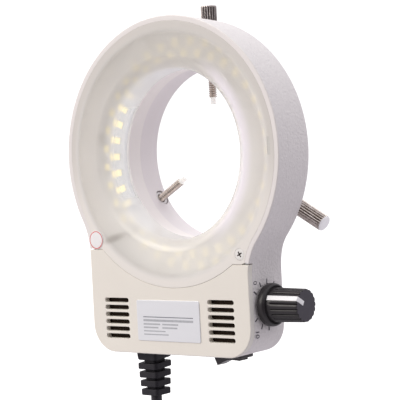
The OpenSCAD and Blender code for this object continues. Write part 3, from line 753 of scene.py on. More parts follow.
def make_housing():
    S = outline_samples()
    theta = [math.atan2(*reversed(outline_at(s, 1.0))) for s in S]

    def ring(dA, yA, dB=None, yB=None):
        dB, yB = (dA if dB is None else dB), (yA if yB is None else yB)
        out = []
        for s in S:
            d, y = (dA, yA) if s[2] == "A" else (dB, yB)
            x, z = outline_at(s, d)
            out.append((x, y, z))
        return out

    def circle(r, y):
        return [(r * math.cos(t), y, r * math.sin(t)) for t in theta]

    weight = []
    for kind, v, _ in S:
        span = {"lf": 28.1, "rf": 39.2}.get(kind)
        weight.append(smooth01(1 - v / span) if span else 0.0 if kind == "ring" else 1.0)

    def side(f):
        """A ring whose inset and depth come from each place's own weight."""
        out = []
        for s, w in zip(S, weight):
            d, y = f(w)
            x, z = outline_at(s, d)
            out.append((x, y, z))
        return out

    rings = []
    for k in range(6):
        c, q = cs(90 * k / 5)
        rA, rB = 0.4, 0.18
        rings.append(ring(rA * (1 - q), -DEPTH + rA * (1 - c), rB * (1 - q) + 0.08, -19.0 + rB * (1 - c)))
    for y in (-18.2, -16, -13, -10, -7, -5, -4):
        rings.append(side(lambda w: (draft(y, w), y)))
    for k in range(0, 10):
        c, q = cs(10 * k)
        rings.append(side(lambda w: (back_edge(w)[0] + back_edge(w)[1] * (1 - c), -back_edge(w)[1] * (1 - q))))
    for r in (43.5, 38.3, 33.0):
        rings.append(circle(r, 0))
    rings += [circle(32.0, 0), circle(31.5, -0.5), circle(31.5, -4), circle(31.5, -7.0), circle(31.8, -7.3), circle(33.2, -7.3), circle(33.4, -7.1), circle(33.4, -2.2)]
    rings.append(circle(40, -2.2))
    rings.append(ring(2.9, -2.2))
    rings.append(ring(2.5, -2.8))
    rings.append(ring(2.2, -15.2))
    # the ledge that the diffuser's edge lies on
    rings.append(ring(4.0, -17.0, 2.2, -16.8))
    rings.append(ring(4.2, -17.3, 2.2, -17.2))
    rings.append(ring(4.2, -19.5, 2.1, -18.6))
    rings.append(ring(4.05, -19.68, 2.0, -18.8))
    rings.append(ring(1.9, -19.68, 1.95, -18.9))
    rings.append(ring(1.9, -DEPTH + 0.04, 1.9, -18.95))
    rings.append(ring(1.86, -DEPTH, 1.8, -19.0))
    ob = piece("ring_housing", *loft(rings, closed=True), "frame", "powder_coat", ["housing"], "powder_coat", angle=32)
    cutters = [
        cutter(*rod((0, -11, -54.8), (1, 0, 0), (0, 0, 1), 3.6, 29, 37)),
        cutter(*block(17.2 - 6.75, 17.2 + 6.75, -11.75 - 3.5, -11.75 + 3.5, -75, -69)),
        cutter(*block(RELIEF[0] - 3.4, RELIEF[0] + 3.4, RELIEF[1] - 3.4, RELIEF[1] + 3.4, -75, -69)),
    ]
    cut(ob, cutters, 32)
    ob.data.materials.append(MAT["bore_painted_glow"])
    ob.data.materials.append(MAT["rim_paint"])
    # painted light: the bore's inner faces take the lighter, glowing paint
    for poly in ob.data.polygons:
        c = poly.center / MM
        if math.hypot(c.x, c.z) < 32.2 and c.y < -0.2:
            poly.material_index = 1
        elif c.y < -19.9:
            poly.material_index = 2
    return ob


make_housing()


def make_posts():
    """The bosses inside the shell: for the diffuser's screws, the lamp board and the driver board."""
    posts = [((30.9, -36.3), 2.6, 1.05, -19.66), ((-37.3, -30.9), 2.6, 1.05, -19.66), ((-30, -53), 2.2, 1.15, -5.6), ((1, -60.5), 2.2, 1.15, -5.6)]
    for a in (20, 110, 170, 250):
        c, q = cs(a)
        posts.append(((44.8 * c, 44.8 * q), 2.2, 1.15, -6.6))
    tubes = []
    for (x, z), r, hole, y in posts:
        prof = [(hole, -2.15), (r, -2.15), (r, y + 0.15), (r - 0.15, y), (hole + 0.12, y), (hole, y + 0.12)]
        tubes.append(loft(turned(prof, 32, (x, 0, z), (0, 1, 0), (1, 0, 0)), closed=True))
    # painted shade: the ear bosses are coloured dark so they show through the plate as a shadow
    piece("ear_bosses", *joined(tubes[:2]), "frame", "powder_coat", None, "boss_dark", merge=False)
    piece("board_posts", *joined(tubes[2:]), "frame", "powder_coat", None, "powder_coat", merge=False)


make_posts()


# ---------------------------------------------------------------- front cover
BOX_X = -3.4
Y_FRONT, Y_COVER = -21.3, -19.0


def offset_loop(pts, dist):
    """An anticlockwise loop moved inwards by its own distance at each point."""
    n = len(pts)
    out = []
    for k in range(n):
        p, a, b = Vector(pts[k]), Vector(pts[k - 1]), Vector(pts[(k + 1) % n])
        u, v = (p - a).normalized(), (b - p).normalized()
        n1, n2 = Vector((-u.y, u.x)), Vector((-v.y, v.x))
        m = (n1 + n2) / max(0.3, 1 + n1.dot(n2))
        d = dist[k] if isinstance(dist, list) else dist
        q = p + m * d
        out.append((q.x, q.y))
    return out


def stadium(cx, cz, half, r, steps=8):
    pts = []
    for k in range(steps + 1):
        c, q = cs(-90 + 180 * k / steps)
        pts.append((cx + half + r * c, cz + r * q))
    for k in range(steps + 1):
        c, q = cs(90 + 180 * k / steps)
        pts.append((cx - half + r * c, cz + r * q))
    return pts


def plate_with_holes(name, outer_rings, hole_rings, **kw):
    """A plate: rings of its edge from front to back, and the same for each hole, with flat faces filled between them."""
    bm = bmesh.new()

    def wall(rings):
        rows = [[bm.verts.new([c * MM for c in p]) for p in ring] for ring in rings]
        for a, b in zip(rows, rows[1:]):
            for k in range(len(a)):
                j = (k + 1) % len(a)
                bm.faces.new((a[k], a[j], b[j], b[k]))
        return rows[0], rows[-1]

    ends = [wall(outer_rings)] + [wall(h) for h in hole_rings]
    for side in (0, 1):
        edges = []
        for e in ends:
            row = e[side]
            for k in range(len(row)):
                edges.append(bm.edges.get((row[k], row[(k + 1) % len(row)])))
        bmesh.ops.triangle_fill(bm, use_beauty=True, use_dissolve=False, edges=edges)
    bmesh.ops.recalc_face_normals(bm, faces=bm.faces[:])
    me = bpy.data.meshes.new(name)
    bm.to_mesh(me)
    bm.free()
    shade(me, kw.get("angle", 32))
    ob = bpy.data.objects.new(name, me)
    scene.collection.objects.link(ob)
    me.materials.append(MAT[kw["mat"]])
    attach(ob, "frame")
    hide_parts(*kw["nodes"])
    return ob


def make_cover():
    S = [s for s in outline_samples(-40.1, -34.4) if s[2] == "B"]
    loop = [outline_at(s, 0.0) for s in S]
    rr = [0.42] * len(loop)
    xr, xl = loop[-1][0], loop[0][0]
    ar = 48.5
    x_r, x_l = math.sqrt(ar**2 - 40.1**2), -math.sqrt(ar**2 - 34.4**2)
    for k in range(1, 6):
        loop.append((xr + (x_r - xr) * k / 6, -40.1))
        rr.append(0.22)
    a0, a1 = math.degrees(math.atan2(-40.1, x_r)), math.degrees(math.atan2(-34.4, x_l))
    for k in range(0, 61):
        c, q = cs(a0 + (a1 - a0) * k / 60)
        loop.append((ar * c, ar * q))
        rr.append(0.22)
    for k in range(1, 5):
        loop.append((x_l + (xl - x_l) * k / 5, -34.4))
        rr.append(0.22)
    n = len(S)
    for k in range(4):
        f = (k + 1) / 5
        rr[k] = rr[n - 1 - k] = 0.3 + 0.12 * f
    rings = []
    for k in range(6):
        c, q = cs(90 * k / 5)
        pts = offset_loop(loop, [r * (1 - q) for r in rr])
        rings.append([(p[0], Y_FRONT + r * (1 - c), p[1]) for p, r in zip(pts, rr)])
    # a tongue below the visible groove, along the arc and the inner part of the shoulders
    last = len(loop)
    tongue = [0.0] * last
    for k in range(n, last):
        edge = min(k - n, last - 1 - k)
        tongue[k] = -0.26 * min(1.0, edge / 2)
    wide = offset_loop(loop, tongue)
    rings.append([(p[0], Y_FRONT + 0.42, p[1]) for p in loop])
    rings.append([(p[0], Y_FRONT + 0.45, p[1]) for p in wide])
    rings.append([(p[0], Y_COVER - 0.12, p[1]) for p in wide])
    rings.append([(p[0], Y_COVER, p[1]) for p in offset_loop(loop, 0.12)])
    holes = []
    for side in (-1, 1):
        for k in range(6):
            cx, cz = BOX_X - 0.27 + side * 24.9, -53.32 - 2.69 * k
            rows = []
            for grow, y in ((0.16, Y_FRONT), (0.05, Y_FRONT + 0.05), (0.0, Y_FRONT + 0.18), (0.0, Y_COVER)):
                rows.append([(x, y, z) for x, z in stadium(cx, cz, 5.12, 0.86 + grow)])
            holes.append(rows)
    return plate_with_holes("box_cover", rings, holes, mat="cover_paint", slot="cover_paint", nodes=["front_cover"], angle=32)


make_cover()


def make_vent_shade_sheets():
    """A dark sheet set behind each group of slots: painted shade for the dim inside of the box."""
    parts = []
    for side in (-1, 1):
        cx = BOX_X - 0.27 + side * 24.9
        rows = []
        for grow, y in ((-0.1, -18.99), (0.0, -18.95), (0.0, -18.8), (-0.06, -18.76)):
            rows.append([(x, y, z) for x, z in rounded_rect(cx, -60.05, 6.9 + grow, 8.6 + grow, 1.0, 6)])
        parts.append(loft(rows))
    piece("vent_shade_sheets", *joined(parts), "frame", "component_black", None, "screen_dark", merge=False)


make_vent_shade_sheets()


def make_label():
    lo, hi = [Vector(p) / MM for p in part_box("label_plate")]
    cx, cz, hx, hz = (lo.x + hi.x) / 2, (lo.z + hi.z) / 2, (hi.x - lo.x) / 2, (hi.z - lo.z) / 2
    rings = []
    for inset, y in ((0.16, lo.y + 0.012), (0.05, lo.y + 0.05), (0.0, lo.y + 0.14), (0.0, hi.y)):
        rings.append([(x, y, z) for x, z in rounded_rect(cx, cz, hx - inset, hz - inset, 0.7 - inset * 0.5, 6)])
    piece("label_foil", *loft(rings), "frame", "label_foil", ["label_plate"], "label_foil", angle=50)
    # one printed rule, and plain bars where lines of print would stand
    bars = []

    def bar(x0, x1, z0, z1):
        bars.append(block(x0, x1, lo.y, lo.y + 0.03, z0, z1))

    left, right, mid = cx - hx + 3.1, cx + hx - 3.0, cz + 1.15
    bar(left, right, mid, mid + 0.3)
    piece("label_rule", *joined(bars), "frame", "label_foil", None, "label_ink", merge=False)
    bars.clear()
    for row, (spans, t) in enumerate(((((0.0, 1.0),), 0.8), (((0.0, 0.34), (0.38, 0.70)), 0.55), (((0.0, 0.30), (0.38, 0.68)), 0.55), (((0.0, 0.44),), 0.42), (((0.0, 0.50),), 0.42))):
        z = mid - 1.5 - row * 1.24
        for f0, f1 in spans:
            bar(left + (right - left) * f0, left + (right - left) * f1, z, z + t)
    piece("label_print", *joined(bars), "frame", "label_foil", None, "print_light", merge=False)


make_label()


# ---------------------------------------------------------------- diffuser, sticker and screws
EARS = ((30.9, -36.3), (-37.3, -30.9))


def make_diffuser():
    S = [s for s in outline_samples(-39.8, -34.1) if s[2] == "A"]
    order = [s for s in S if s[0] == "rf"] + [s for s in S if s[0] == "ring"] + [s for s in S if s[0] == "lf"]
    loop = [outline_at(s, 1.92) for s in order]
    ar = 48.4
    x_r, x_l = math.sqrt(ar**2 - 39.8**2), -math.sqrt(ar**2 - 34.1**2)
    xr, xl = loop[0][0], loop[-1][0]
    for k in range(1, 4):
        loop.append((xl + (x_l - xl) * k / 4, -34.1))
    a0, a1 = math.degrees(math.atan2(-34.1, x_l)) % 360, math.degrees(math.atan2(-39.8, x_r)) % 360
    for k in range(0, 61):
        c, q = cs(a0 + (a1 - a0) * k / 60)
        loop.append((ar * c, ar * q))
    for k in range(1, 4):
        loop.append((x_r + (xr - x_r) * k / 4, -39.8))
    theta = [math.atan2(z, x) for x, z in loop]

    def circle(r, y):
        return [(r * math.cos(t), y, r * math.sin(t)) for t in theta]

    def edge(inset, y):
        return [(p[0], y, p[1]) for p in offset_loop(loop, inset)]

    rings = [edge(0, -19.7), edge(0, -21.25), edge(0.015, -21.285), edge(0.04, -21.3), edge(0.2, -21.3), circle(45.8, -21.3), circle(40, -21.3), circle(36, -21.3)]
    for k in range(1, 15):
        c, q = cs(90 * k / 14)
        rings.append(circle(36 - 5 * q, -16.3 - 5 * c))
    rings += [circle(31, -12), circle(31, -7.75), circle(31.25, -7.5), circle(32.35, -7.5), circle(32.6, -7.75), circle(32.6, -12)]
    for k in range(14, -1, -1):
        c, q = cs(90 * k / 14)
        rings.append(circle(36 - 3.4 * q, -16.3 - 3.4 * c))
    rings += [circle(40, -19.7), circle(45.8, -19.7)]
    ob = piece("diffuser_ring", *loft(rings, closed=True), "frame", "frosted_plastic", ["diffuser"], "frosted_plastic", angle=32)
    cutters = []
    for ex, ez in EARS:
        cutters.append(cutter(*loft(turned([(2.12, -20.25), (2.12, -22.5)], 40, (ex, 0, ez), (0, 1, 0), (1, 0, 0)))))
        cutters.append(cutter(*loft(turned([(1.2, -18), (1.2, -21)], 40, (ex, 0, ez), (0, 1, 0), (1, 0, 0)))))
    # the mark of the mould's gate, near the right edge
    cutters.append(cutter(*block(45.3, 46.5, -21.6, -21.24, -2.3, 3.9)))
    cut(ob, cutters, 32)
    for name in ("frosted_rim_glow", "gate_grey"):
        ob.data.materials.append(MAT[name])
    for poly in ob.data.polygons:
        c = poly.center / MM
        r = math.hypot(c.x, c.z)
        if 45.2 < c.x < 46.6 and -2.4 < c.z < 4.0 and -21.29 < c.y < -21.2:
            poly.material_index = 2
        # painted glow: the sleeve's back edge takes the glowing material
        elif r < 33 and c.y > -7.95:
            poly.material_index = 1


make_diffuser()


def make_diffuser_screws():
    for name, (ex, ez), turn in (("right", EARS[0], 28), ("left", EARS[1], 40)):
        prof = [(0, -12.5), (0.7, -12.5), (1.0, -12.9), (1.0, -20.3), (2.0, -20.3), (2.06, -20.9), (2.06, -21.2), (1.98, -21.27), (1.85, -21.3), (1.2, -21.3), (0, -21.3)]
        ob = piece("diffuser_screw_" + name, *loft(turned(prof, 40, (ex, 0, ez), (0, 1, 0), (1, 0, 0))), "frame", "screw_steel", ["diffuser_screws"], "screw_white")
        cutters = []
        for k in range(2):
            c, q = cs(turn + 90 * k)
            u, v = Vector((c, 0, q)), Vector((-q, 0, c))
            o = Vector((ex, 0, ez))
            ring = lambda y, h, w: [o + u * a * h + v * b * w + Vector((0, y, 0)) for a, b in ((1, 1), (-1, 1), (-1, -1), (1, -1))]
            cutters.append(cutter(*loft([ring(-22, 1.12, 0.27), ring(-21.3, 1.08, 0.25), ring(-20.35, 0.45, 0.2)])))
        cut(ob, cutters, 32)
        ob.data.materials.append(MAT["recess_painted_shade"])
        # painted shade: the faces inside the cross recess take a near-black colour
        for poly in ob.data.polygons:
            c = poly.center / MM
            if math.hypot(c.x - ex, c.z - ez) < 1.2 and -21.29 < c.y < -20.32:
                poly.material_index = 1


make_diffuser_screws()


def make_sticker():
    cx, cz = -37.35, -30.7
    n = 72
    lo = -21.5

    def ring(r, y, curl=0.0):
        out = []
        for k in range(n):
            c, q = cs(360 * k / n)
            out.append((cx + r * c, y, cz + r * q))
        return out

    rings = [[(cx, lo, cz)], ring(2.0, lo), ring(3.3, lo), ring(3.45, lo + 0.03), ring(3.5, lo + 0.08), ring(3.5, -21.3), [(cx, -21.3, cz)]]
    piece("seal_paper", *loft(rings), "frame", "paper_white", ["seal_sticker"], "paper_white", angle=60)
    y0, y1 = lo - 0.012, lo + 0.02
    band = [ring(3.02, y0), ring(3.34, y0), ring(3.34, y1), ring(3.02, y1)]
    piece("seal_band", *loft(band, closed=True), "frame", "paper_white", None, "seal_red")


make_sticker()


# ---------------------------------------------------------------- lamps
def make_lamps():
    bodies, glow = [], []
    for o, r0, a0 in ((0, 36.9, 9.3), (1, 41.2, 4.8)):
        for k in range(36):
            c, q = cs(a0 + 10 * k)
            er, et = Vector((c, 0, q)), Vector((-q, 0, c))

            def ring(hr, ht, rr, y):
                return [er * (r0 + a) + et * b + Vector((0, y, 0)) for a, b in rounded_rect(0, 0, hr, ht, rr, 3)]

            y = -8.2
            bodies.append(loft([ring(1.75, 1.4, 0.12, y), ring(1.75, 1.4, 0.12, y - 0.66), ring(1.71, 1.36, 0.16, y - 0.75), ring(1.66, 1.31, 0.3, y - 0.75), ring(1.6, 1.25, 0.3, y - 0.6)]))
            glow.append(loft([ring(1.6, 1.25, 0.3, y - 0.59), ring(1.62, 1.27, 0.31, y - 0.64), ring(1.1, 0.85, 0.4, y - 0.71), ring(0.4, 0.3, 0.2, y - 0.74)]))
    piece("lamp_bodies", *joined(bodies), "frame", "lamp_phosphor", ["leds"], "lamp_body", angle=30, merge=False)
    piece("lamp_domes", *joined(glow), "frame", "lamp_phosphor", None, "lamp_phosphor", angle=60, merge=False)


make_lamps()


def make_lamp_leads():
    """The pair of wires that feeds the lamp board, lying against the plate beside the left ear."""
    way = [(-36.0, -11.0, -39.0), (-35.6, -15.5, -36.0), (-34.4, -16.8, -33.0), (-32.4, -18.5, -31.1), (-29.8, -18.9, -30.4), (-26.5, -18.95, -29.6), (-24.0, -18.4, -28.6), (-23.2, -15.5, -27.2), (-23.8, -11.5, -25.8), (-24.4, -8.3, -25.2)]
    parts = [tube(way, 0.7), tube([(x + 0.3, y + 0.1, z - 1.5) for x, y, z in way], 0.7)]
    piece("lamp_leads", *joined(parts), "frame", "wire_dark", None, "wire_dark", angle=60, merge=False)


make_lamp_leads()


# ---------------------------------------------------------------- clamp collar and thumbscrews
SCREWS = (("top", 90), ("left", 210), ("right", 330))
SCREW_Y = 7.0


def make_collar():
    prof = [(32.7, 0.0), (37.7, 0.0), (38.0, 0.3), (38.0, 5.0), (38.0, 10.0), (37.85, 10.3), (37.5, 10.5), (32.95, 10.5), (32.5, 10.35), (32.25, 10.0), (32.25, 5.0), (32.25, 0.45)]
    ob = piece("collar", *loft(turned(prof, 160, (0, 0, 0), (0, 1, 0), (1, 0, 0)), closed=True), "frame", "powder_coat", ["clamp_collar"], "collar_paint", angle=32)
    cutters = []
    for _, a in SCREWS:
        c, q = cs(a)
        cutters.append(cutter(*rod((0, SCREW_Y, 0), (c, 0, q), (0, 1, 0), 3.06, 28, 42)))
    cut(ob, cutters, 32)
    ob.data.materials.append(MAT["collar_inner_painted_light"])
    # painted light: the faces inside the bore take the lighter copy of the paint
    for poly in ob.data.polygons:
        c = poly.center / MM
        if math.hypot(c.x, c.z) < 32.5:
            poly.material_index = 1


make_collar()


def make_inserts():
    """Threaded bushes set in the collar, each a little below its inner face."""
    prof = [(1.72, 34.0), (1.78, 33.6), (1.8, 32.75), (1.92, 32.62), (2.62, 32.62), (2.74, 32.74), (2.74, 34.2), (3.0, 34.3), (3.0, 37.7), (2.9, 37.8), (1.8, 37.8), (1.72, 37.65)]
    parts = []
    for _, a in SCREWS:
        c, q = cs(a)
        parts.append(loft(turned(prof, 56, (0, SCREW_Y, 0), (c, 0, q), (0, 1, 0)), closed=True))
    piece("insert_bushes", *joined(parts), "frame", "insert_brass", ["thread_inserts"], "insert_zinc", angle=35, merge=False)


make_inserts()


def make_thumbscrews():
    for name, a in SCREWS:
        c, q = cs(a)
        o, ax, ref = (0, SCREW_Y, 0), (c, 0, q), (0, 1, 0)
        pitch = 0.8

        def thread(r, h, t):
            ph = (h / pitch - t / (2 * math.pi)) % 1.0
            tooth = 1 - abs(2 * ph - 1)
            f = smooth01((h - 20.9) / 0.4)
            return r - 0.4 * f * (1 - min(1.0, tooth * 1.45))

        rows = [(0, 23.4), (1.05, 23.4), (1.05, 20.9), (1.12, 20.8), (1.32, 20.84)]
        stem = turned(rows, 28, o, ax, ref)
        steps = int((41.0 - 20.95) / (pitch / 9))
        stem += turned([(1.5, 20.95 + k * pitch / 9) for k in range(steps + 1)], 28, o, ax, ref, thread)
        stem += turned([(1.3, 41.6), (0, 41.6)], 28, o, ax, ref)
        teeth = 19

        def knurl(r, h, t):
            f = smooth01((h - 41.25) / 0.35) * smooth01((54.95 - h) / 0.4)
            w = abs(math.cos(teeth * t / 2))
            return r - 0.5 * f * (1 - w ** 1.25)

        head = [(0, 41.0), (2.55, 41.0), (2.75, 41.05), (2.95, 41.25), (3.0, 41.45), (3.0, 41.7), (3.0, 44), (3.0, 47), (3.0, 50), (3.0, 53), (3.0, 54.5), (3.0, 54.75), (2.9, 55.0), (2.7, 55.25), (2.4, 55.42), (2.1, 55.5), (0, 55.5)]
        head = turned(head, teeth * 10, o, ax, ref, knurl)
        ob = piece("thumbscrew_" + name + "_head", *loft(head), "screw_" + name, "nickel", ["thumbscrew_" + name], "nickel", angle=40)
        ob.data.materials.append(MAT["screw_end_glow"])
        ob.data.materials.append(MAT["knurl_groove_shade"])
        u, base = Vector((c, 0, q)), Vector(o) * MM
        for poly in ob.data.polygons:
            h = poly.center.dot(u)
            off = (poly.center - base - u * h).length
            # painted highlight: the end face takes a near-white, faintly glowing material
            if poly.normal.dot(u) > 0.3 and h > 54.9 * MM:
                poly.material_index = 1
            # painted shade: the knurl's deep faces take a dark colour, over a wider band on the top screw
            elif 41.6 * MM < h < 54.6 * MM and off < (2.86 if name == "top" else 2.68) * MM:
                poly.material_index = 2
        piece("thumbscrew_" + name + "_thread", *loft(stem), "screw_" + name, "nickel", None, "thread_nickel", angle=70)
        tip = [(0, 18.2), (0.72, 18.2), (0.88, 18.28), (1.0, 18.5), (0.97, 19.4), (0.95, 20.2), (1.0, 20.5), (1.15, 20.66), (1.15, 20.76), (1.0, 20.77), (1.0, 23.2), (0, 23.2)]
        piece("thumbscrew_" + name + "_tip", *loft(turned(tip, 32, o, ax, ref)), "tip_" + name, "nylon", ["screw_tip_" + name], "nylon", angle=40)


make_thumbscrews()


# ---------------------------------------------------------------- dimmer
KNOB = (0, -11.0, -54.8)


def make_knob():
    lobes = 18

    def flutes(r, h, t):
        if h < 39.3:
            return r
        f = smooth01((h - 39.4) / 0.5)
        return r - 0.56 * f * (1 - abs(math.cos(lobes * t / 2)) ** 0.42)

    prof = [
        (0, 47.45), (3.02, 47.45), (3.02, 38.75), (3.9, 38.75), (3.9, 37.6), (6.2, 37.6), (6.2, 35.3),
        (7.45, 35.3), (7.6, 35.37), (7.65, 35.5), (7.65, 36.9), (7.6, 37.25), (7.45, 37.62), (7.2, 37.95), (6.95, 38.1), (6.75, 38.12), (6.6, 38.02), (6.5, 37.85),
        (6.3, 37.75), (6.2, 37.85), (6.12, 38.3), (6.09, 39.1), (6.08, 39.6), (6.07, 39.9), (6.02, 42), (5.95, 45), (5.88, 48), (5.83, 50.3), (5.8, 50.6), (5.74, 50.78), (5.62, 50.88), (5.2, 50.88), (4.5, 50.88), (2.5, 50.88), (0, 50.88),
    ]
    ob = piece("dimmer_knob", *loft(turned(prof, lobes * 14, KNOB, (1, 0, 0), (0, -1, 0), flutes)), "dial", "knob_black", ["knob"], "knob_black", angle=36)
    ob.data.materials.append(MAT["knob_face"])
    ob.data.materials.append(MAT["knob_groove_shade"])
    for p in ob.data.polygons:
        c = p.center / MM
        r = math.hypot(c.y - KNOB[1], c.z - KNOB[2])
        if p.normal.x > 0.95 and c.x > 50.8:
            p.material_index = 1
        # painted shade: the deep faces of the flutes take a near-black matt colour
        elif 39.5 < c.x < 50.7 and 5.0 < r < 6.08 - 0.0235 * (c.x - 39.6) - 0.27:
            p.material_index = 2


def make_pointer():
    c, q = cs(29)
    out = Vector((0, -c, q))
    side = Vector((1, 0, 0)).cross(out)
    o = Vector(KNOB)
    shape = [(38.05, 5.3), (38.05, 6.0), (38.15, 6.22), (38.4, 6.34), (50.7, 6.08), (50.93, 5.95), (51.03, 5.75), (51.05, 5.45), (51.05, 1.9), (50.97, 1.8), (50.45, 1.8), (50.45, 5.2)]
    rings = [[o + Vector((x, 0, 0)) + out * r + side * t for x, r in shape] for t in (-0.85, 0.85)]
    ob = piece("dimmer_pointer", *loft(rings), "dial", "pointer_white", ["knob_pointer"], "pointer_white", angle=40)
    bevelled(ob, 0.1, 60)


make_knob()
make_pointer()


def side_x(y):
    return 34.25 - draft(y)


def make_scale():
    """Tick marks and end numbers printed on the box's right side."""
    bars = []
    for k in range(11):
        a = 35 + 29.0 * k
        # from the front, over the top, to the back and under
        c, q = cs(a)
        er, et = Vector((0, -c, q)), Vector((0, q, c))
        verts = []
        for lift in (-0.03, 0.03):
            for r, t in ((7.3, -0.27), (9.15, -0.27), (9.15, 0.27), (7.3, 0.27)):
                p = Vector(KNOB) + er * r + et * t
                verts.append((side_x(p.y) + lift, p.y, p.z))
        bars.append((verts, [(0, 1, 2, 3), (7, 6, 5, 4), (0, 4, 5, 1), (1, 5, 6, 2), (2, 6, 7, 3), (3, 7, 4, 0)]))
    piece("dial_ticks", *joined(bars), "frame", "powder_coat", None, "print_grey", merge=False)
    for name, word, y, z in (("dial_number_0", "0", -17.6, -46.6), ("dial_number_10", "10", -17.6, -64.6)):
        cu = bpy.data.curves.new(name, "FONT")
        cu.body = word
        cu.size = 3.0 * MM
        cu.extrude = 0.03 * MM
        cu.align_x = "CENTER"
        cu.align_y = "CENTER"
        tmp = bpy.data.objects.new(name, cu)
        scene.collection.objects.link(tmp)
        dg = bpy.context.evaluated_depsgraph_get()
        me = bpy.data.meshes.new_from_object(tmp.evaluated_get(dg))
        bpy.data.objects.remove(tmp)
        bpy.data.curves.remove(cu)
        for v in me.vertices:
            # the line of print runs down the side, its head towards the knob
            p = Vector((0, y * MM + v.co.y, z * MM - v.co.x))
            v.co = (side_x(p.y / MM) * MM + v.co.z, p.y, p.z)
        me.update()
        ob = bpy.data.objects.new(name, me)
        scene.collection.objects.link(ob)
        me.materials.clear()
        me.materials.append(MAT["print_grey"])
        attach(ob, "frame")


make_scale()


# ---------------------------------------------------------------- switch and strain relief
def make_switch():
    cx, cy = 17.2, -11.75

    def ring(hx, hy, r, z):
        return [(x, y, z) for x, y in rounded_rect(cx, cy, hx, hy, r, 5)]

    rings = [
        ring(6.4, 3.2, 0.3, -61.5), ring(6.6, 3.4, 0.4, -61.8), ring(6.6, 3.4, 0.4, -72.85), ring(7.5, 3.85, 0.7, -72.85), ring(7.5, 3.85, 0.7, -73.6),
        ring(7.44, 3.79, 0.65, -73.78), ring(7.25, 3.6, 0.5, -73.9), ring(6.45, 3.05, 0.4, -73.9), ring(6.27, 2.87, 0.35, -73.82), ring(6.2, 2.8, 0.3, -73.65), ring(6.2, 2.8, 0.3, -66.5),
    ]
    piece("switch_frame", *loft(rings), "frame", "switch_black", ["switch_body"], "switch_black", angle=35)
    low = []
    for k in range(17):
        x = -5.2 + 10.4 * k / 16
        low.append((x, -2.25 - 1.1 * (abs(x) / 5.2) ** 1.35))
    shape = low + [(5.9, -0.6), (4.4, 0.7), (2.2, 2.2), (-2.2, 2.2), (-4.4, 0.7), (-5.9, -0.6)]
    c, s = cs(11)
    rings = []
    for t in (-2.55, 2.55):
        rings.append([(cx + x * c - z * s, cy + t, -72.6 + x * s + z * c) for x, z in shape])
    ob = piece("switch_paddle", *loft(rings), "rocker", "rocker_black", ["switch_rocker"], "rocker_black", angle=35)
    bevelled(ob, 0.2, 50, 3)


make_switch()


def make_relief():
    def ring(w, z, lean=0.0, r=1.15):
        """A square ring: z is its height at the front, and lean how much it rises towards the back."""
        return [(x, y, z + lean * (y - RELIEF[1] + w / 2)) for x, y in rounded_rect(RELIEF[0], RELIEF[1], w / 2, w / 2, min(r, w * 0.4), 6)]

    rows = [ring(8.6, -69.0), ring(9.0, -69.2), ring(9.0, -71.0), ring(6.5, -71.0), ring(6.5, -72.85)]
    rows += [ring(9.85, -72.85), ring(9.9, -73.05), ring(9.75, -74.6, 0.03), ring(9.5, -75.8, 0.06), ring(9.3, -76.2, 0.07), ring(8.9, -76.4, 0.075), ring(6.2, -76.45, 0.075)]
    for k, (top, low, lean) in enumerate(((-77.6, -79.85, 0.065), (-80.8, -83.1, 0.048), (-84.1, -86.4, 0.03), (-87.35, -89.7, 0.012))):
        w, neck = 9.45 - 0.36 * k, 6.1 - 0.25 * k
        e = 0.26
        rows += [ring(neck, top, lean), ring(w - 2 * e, top, lean), ring(w - 0.14, top - 0.09, lean), ring(w, top - e, lean)]
        rows += [ring(w, low + e, lean), ring(w - 0.14, low + 0.09, lean), ring(w - 2 * e, low, lean)]
        if k < 3:
            rows += [ring(neck - 0.12, low, lean)]
    piece("relief_boot", *loft(rows), "frame", "lead_rubber", ["strain_relief"], "relief_rubber", angle=32)


make_relief()


# ---------------------------------------------------------------- CAD parts that stay
# the lamp board's material carries a painted glow
KEEP = {
    "led_board": "board_white", "driver_board": "board_green", "driver_components": "component_black", "board_screws": "screw_white",
    "pot_body": "pot_metal", "pot_pins": "pot_metal", "pot_washer": "pot_metal", "pot_nut": "pot_metal", "pot_shaft": "pot_metal",
    "switch_terminals": "insert_brass", "collar_screws": "screw_steel",
    "supply_wires": "wire_red", "led_wires": "wire_dark", "switch_wires": "wire_dark", "pot_wires": "wire_yellow",
}
for node, mat in KEEP.items():
    ob = frame["nodes"][node]
    ob.data.materials.clear()
    ob.data.materials.append(MAT[mat])


# ---------------------------------------------------------------- floor and light
def make_floor():
    me = bpy.data.meshes.new("floor")
    n, half = 24, 12.0
    verts = [(-half + 2 * half * i / n, -half + 2 * half * j / n, -0.1501) for i in range(n + 1) for j in range(n + 1)]
    faces = [(i * (n + 1) + j, (i + 1) * (n + 1) + j, (i + 1) * (n + 1) + j + 1, i * (n + 1) + j + 1) for i in range(n) for j in range(n)]
    me.from_pydata(verts, [], faces)
    ob = bpy.data.objects.new("floor", me)
    scene.collection.objects.link(ob)
    me.materials.append(MAT["floor_white"])
    ob.visible_diffuse = False
    ob.visible_glossy = False


make_floor()


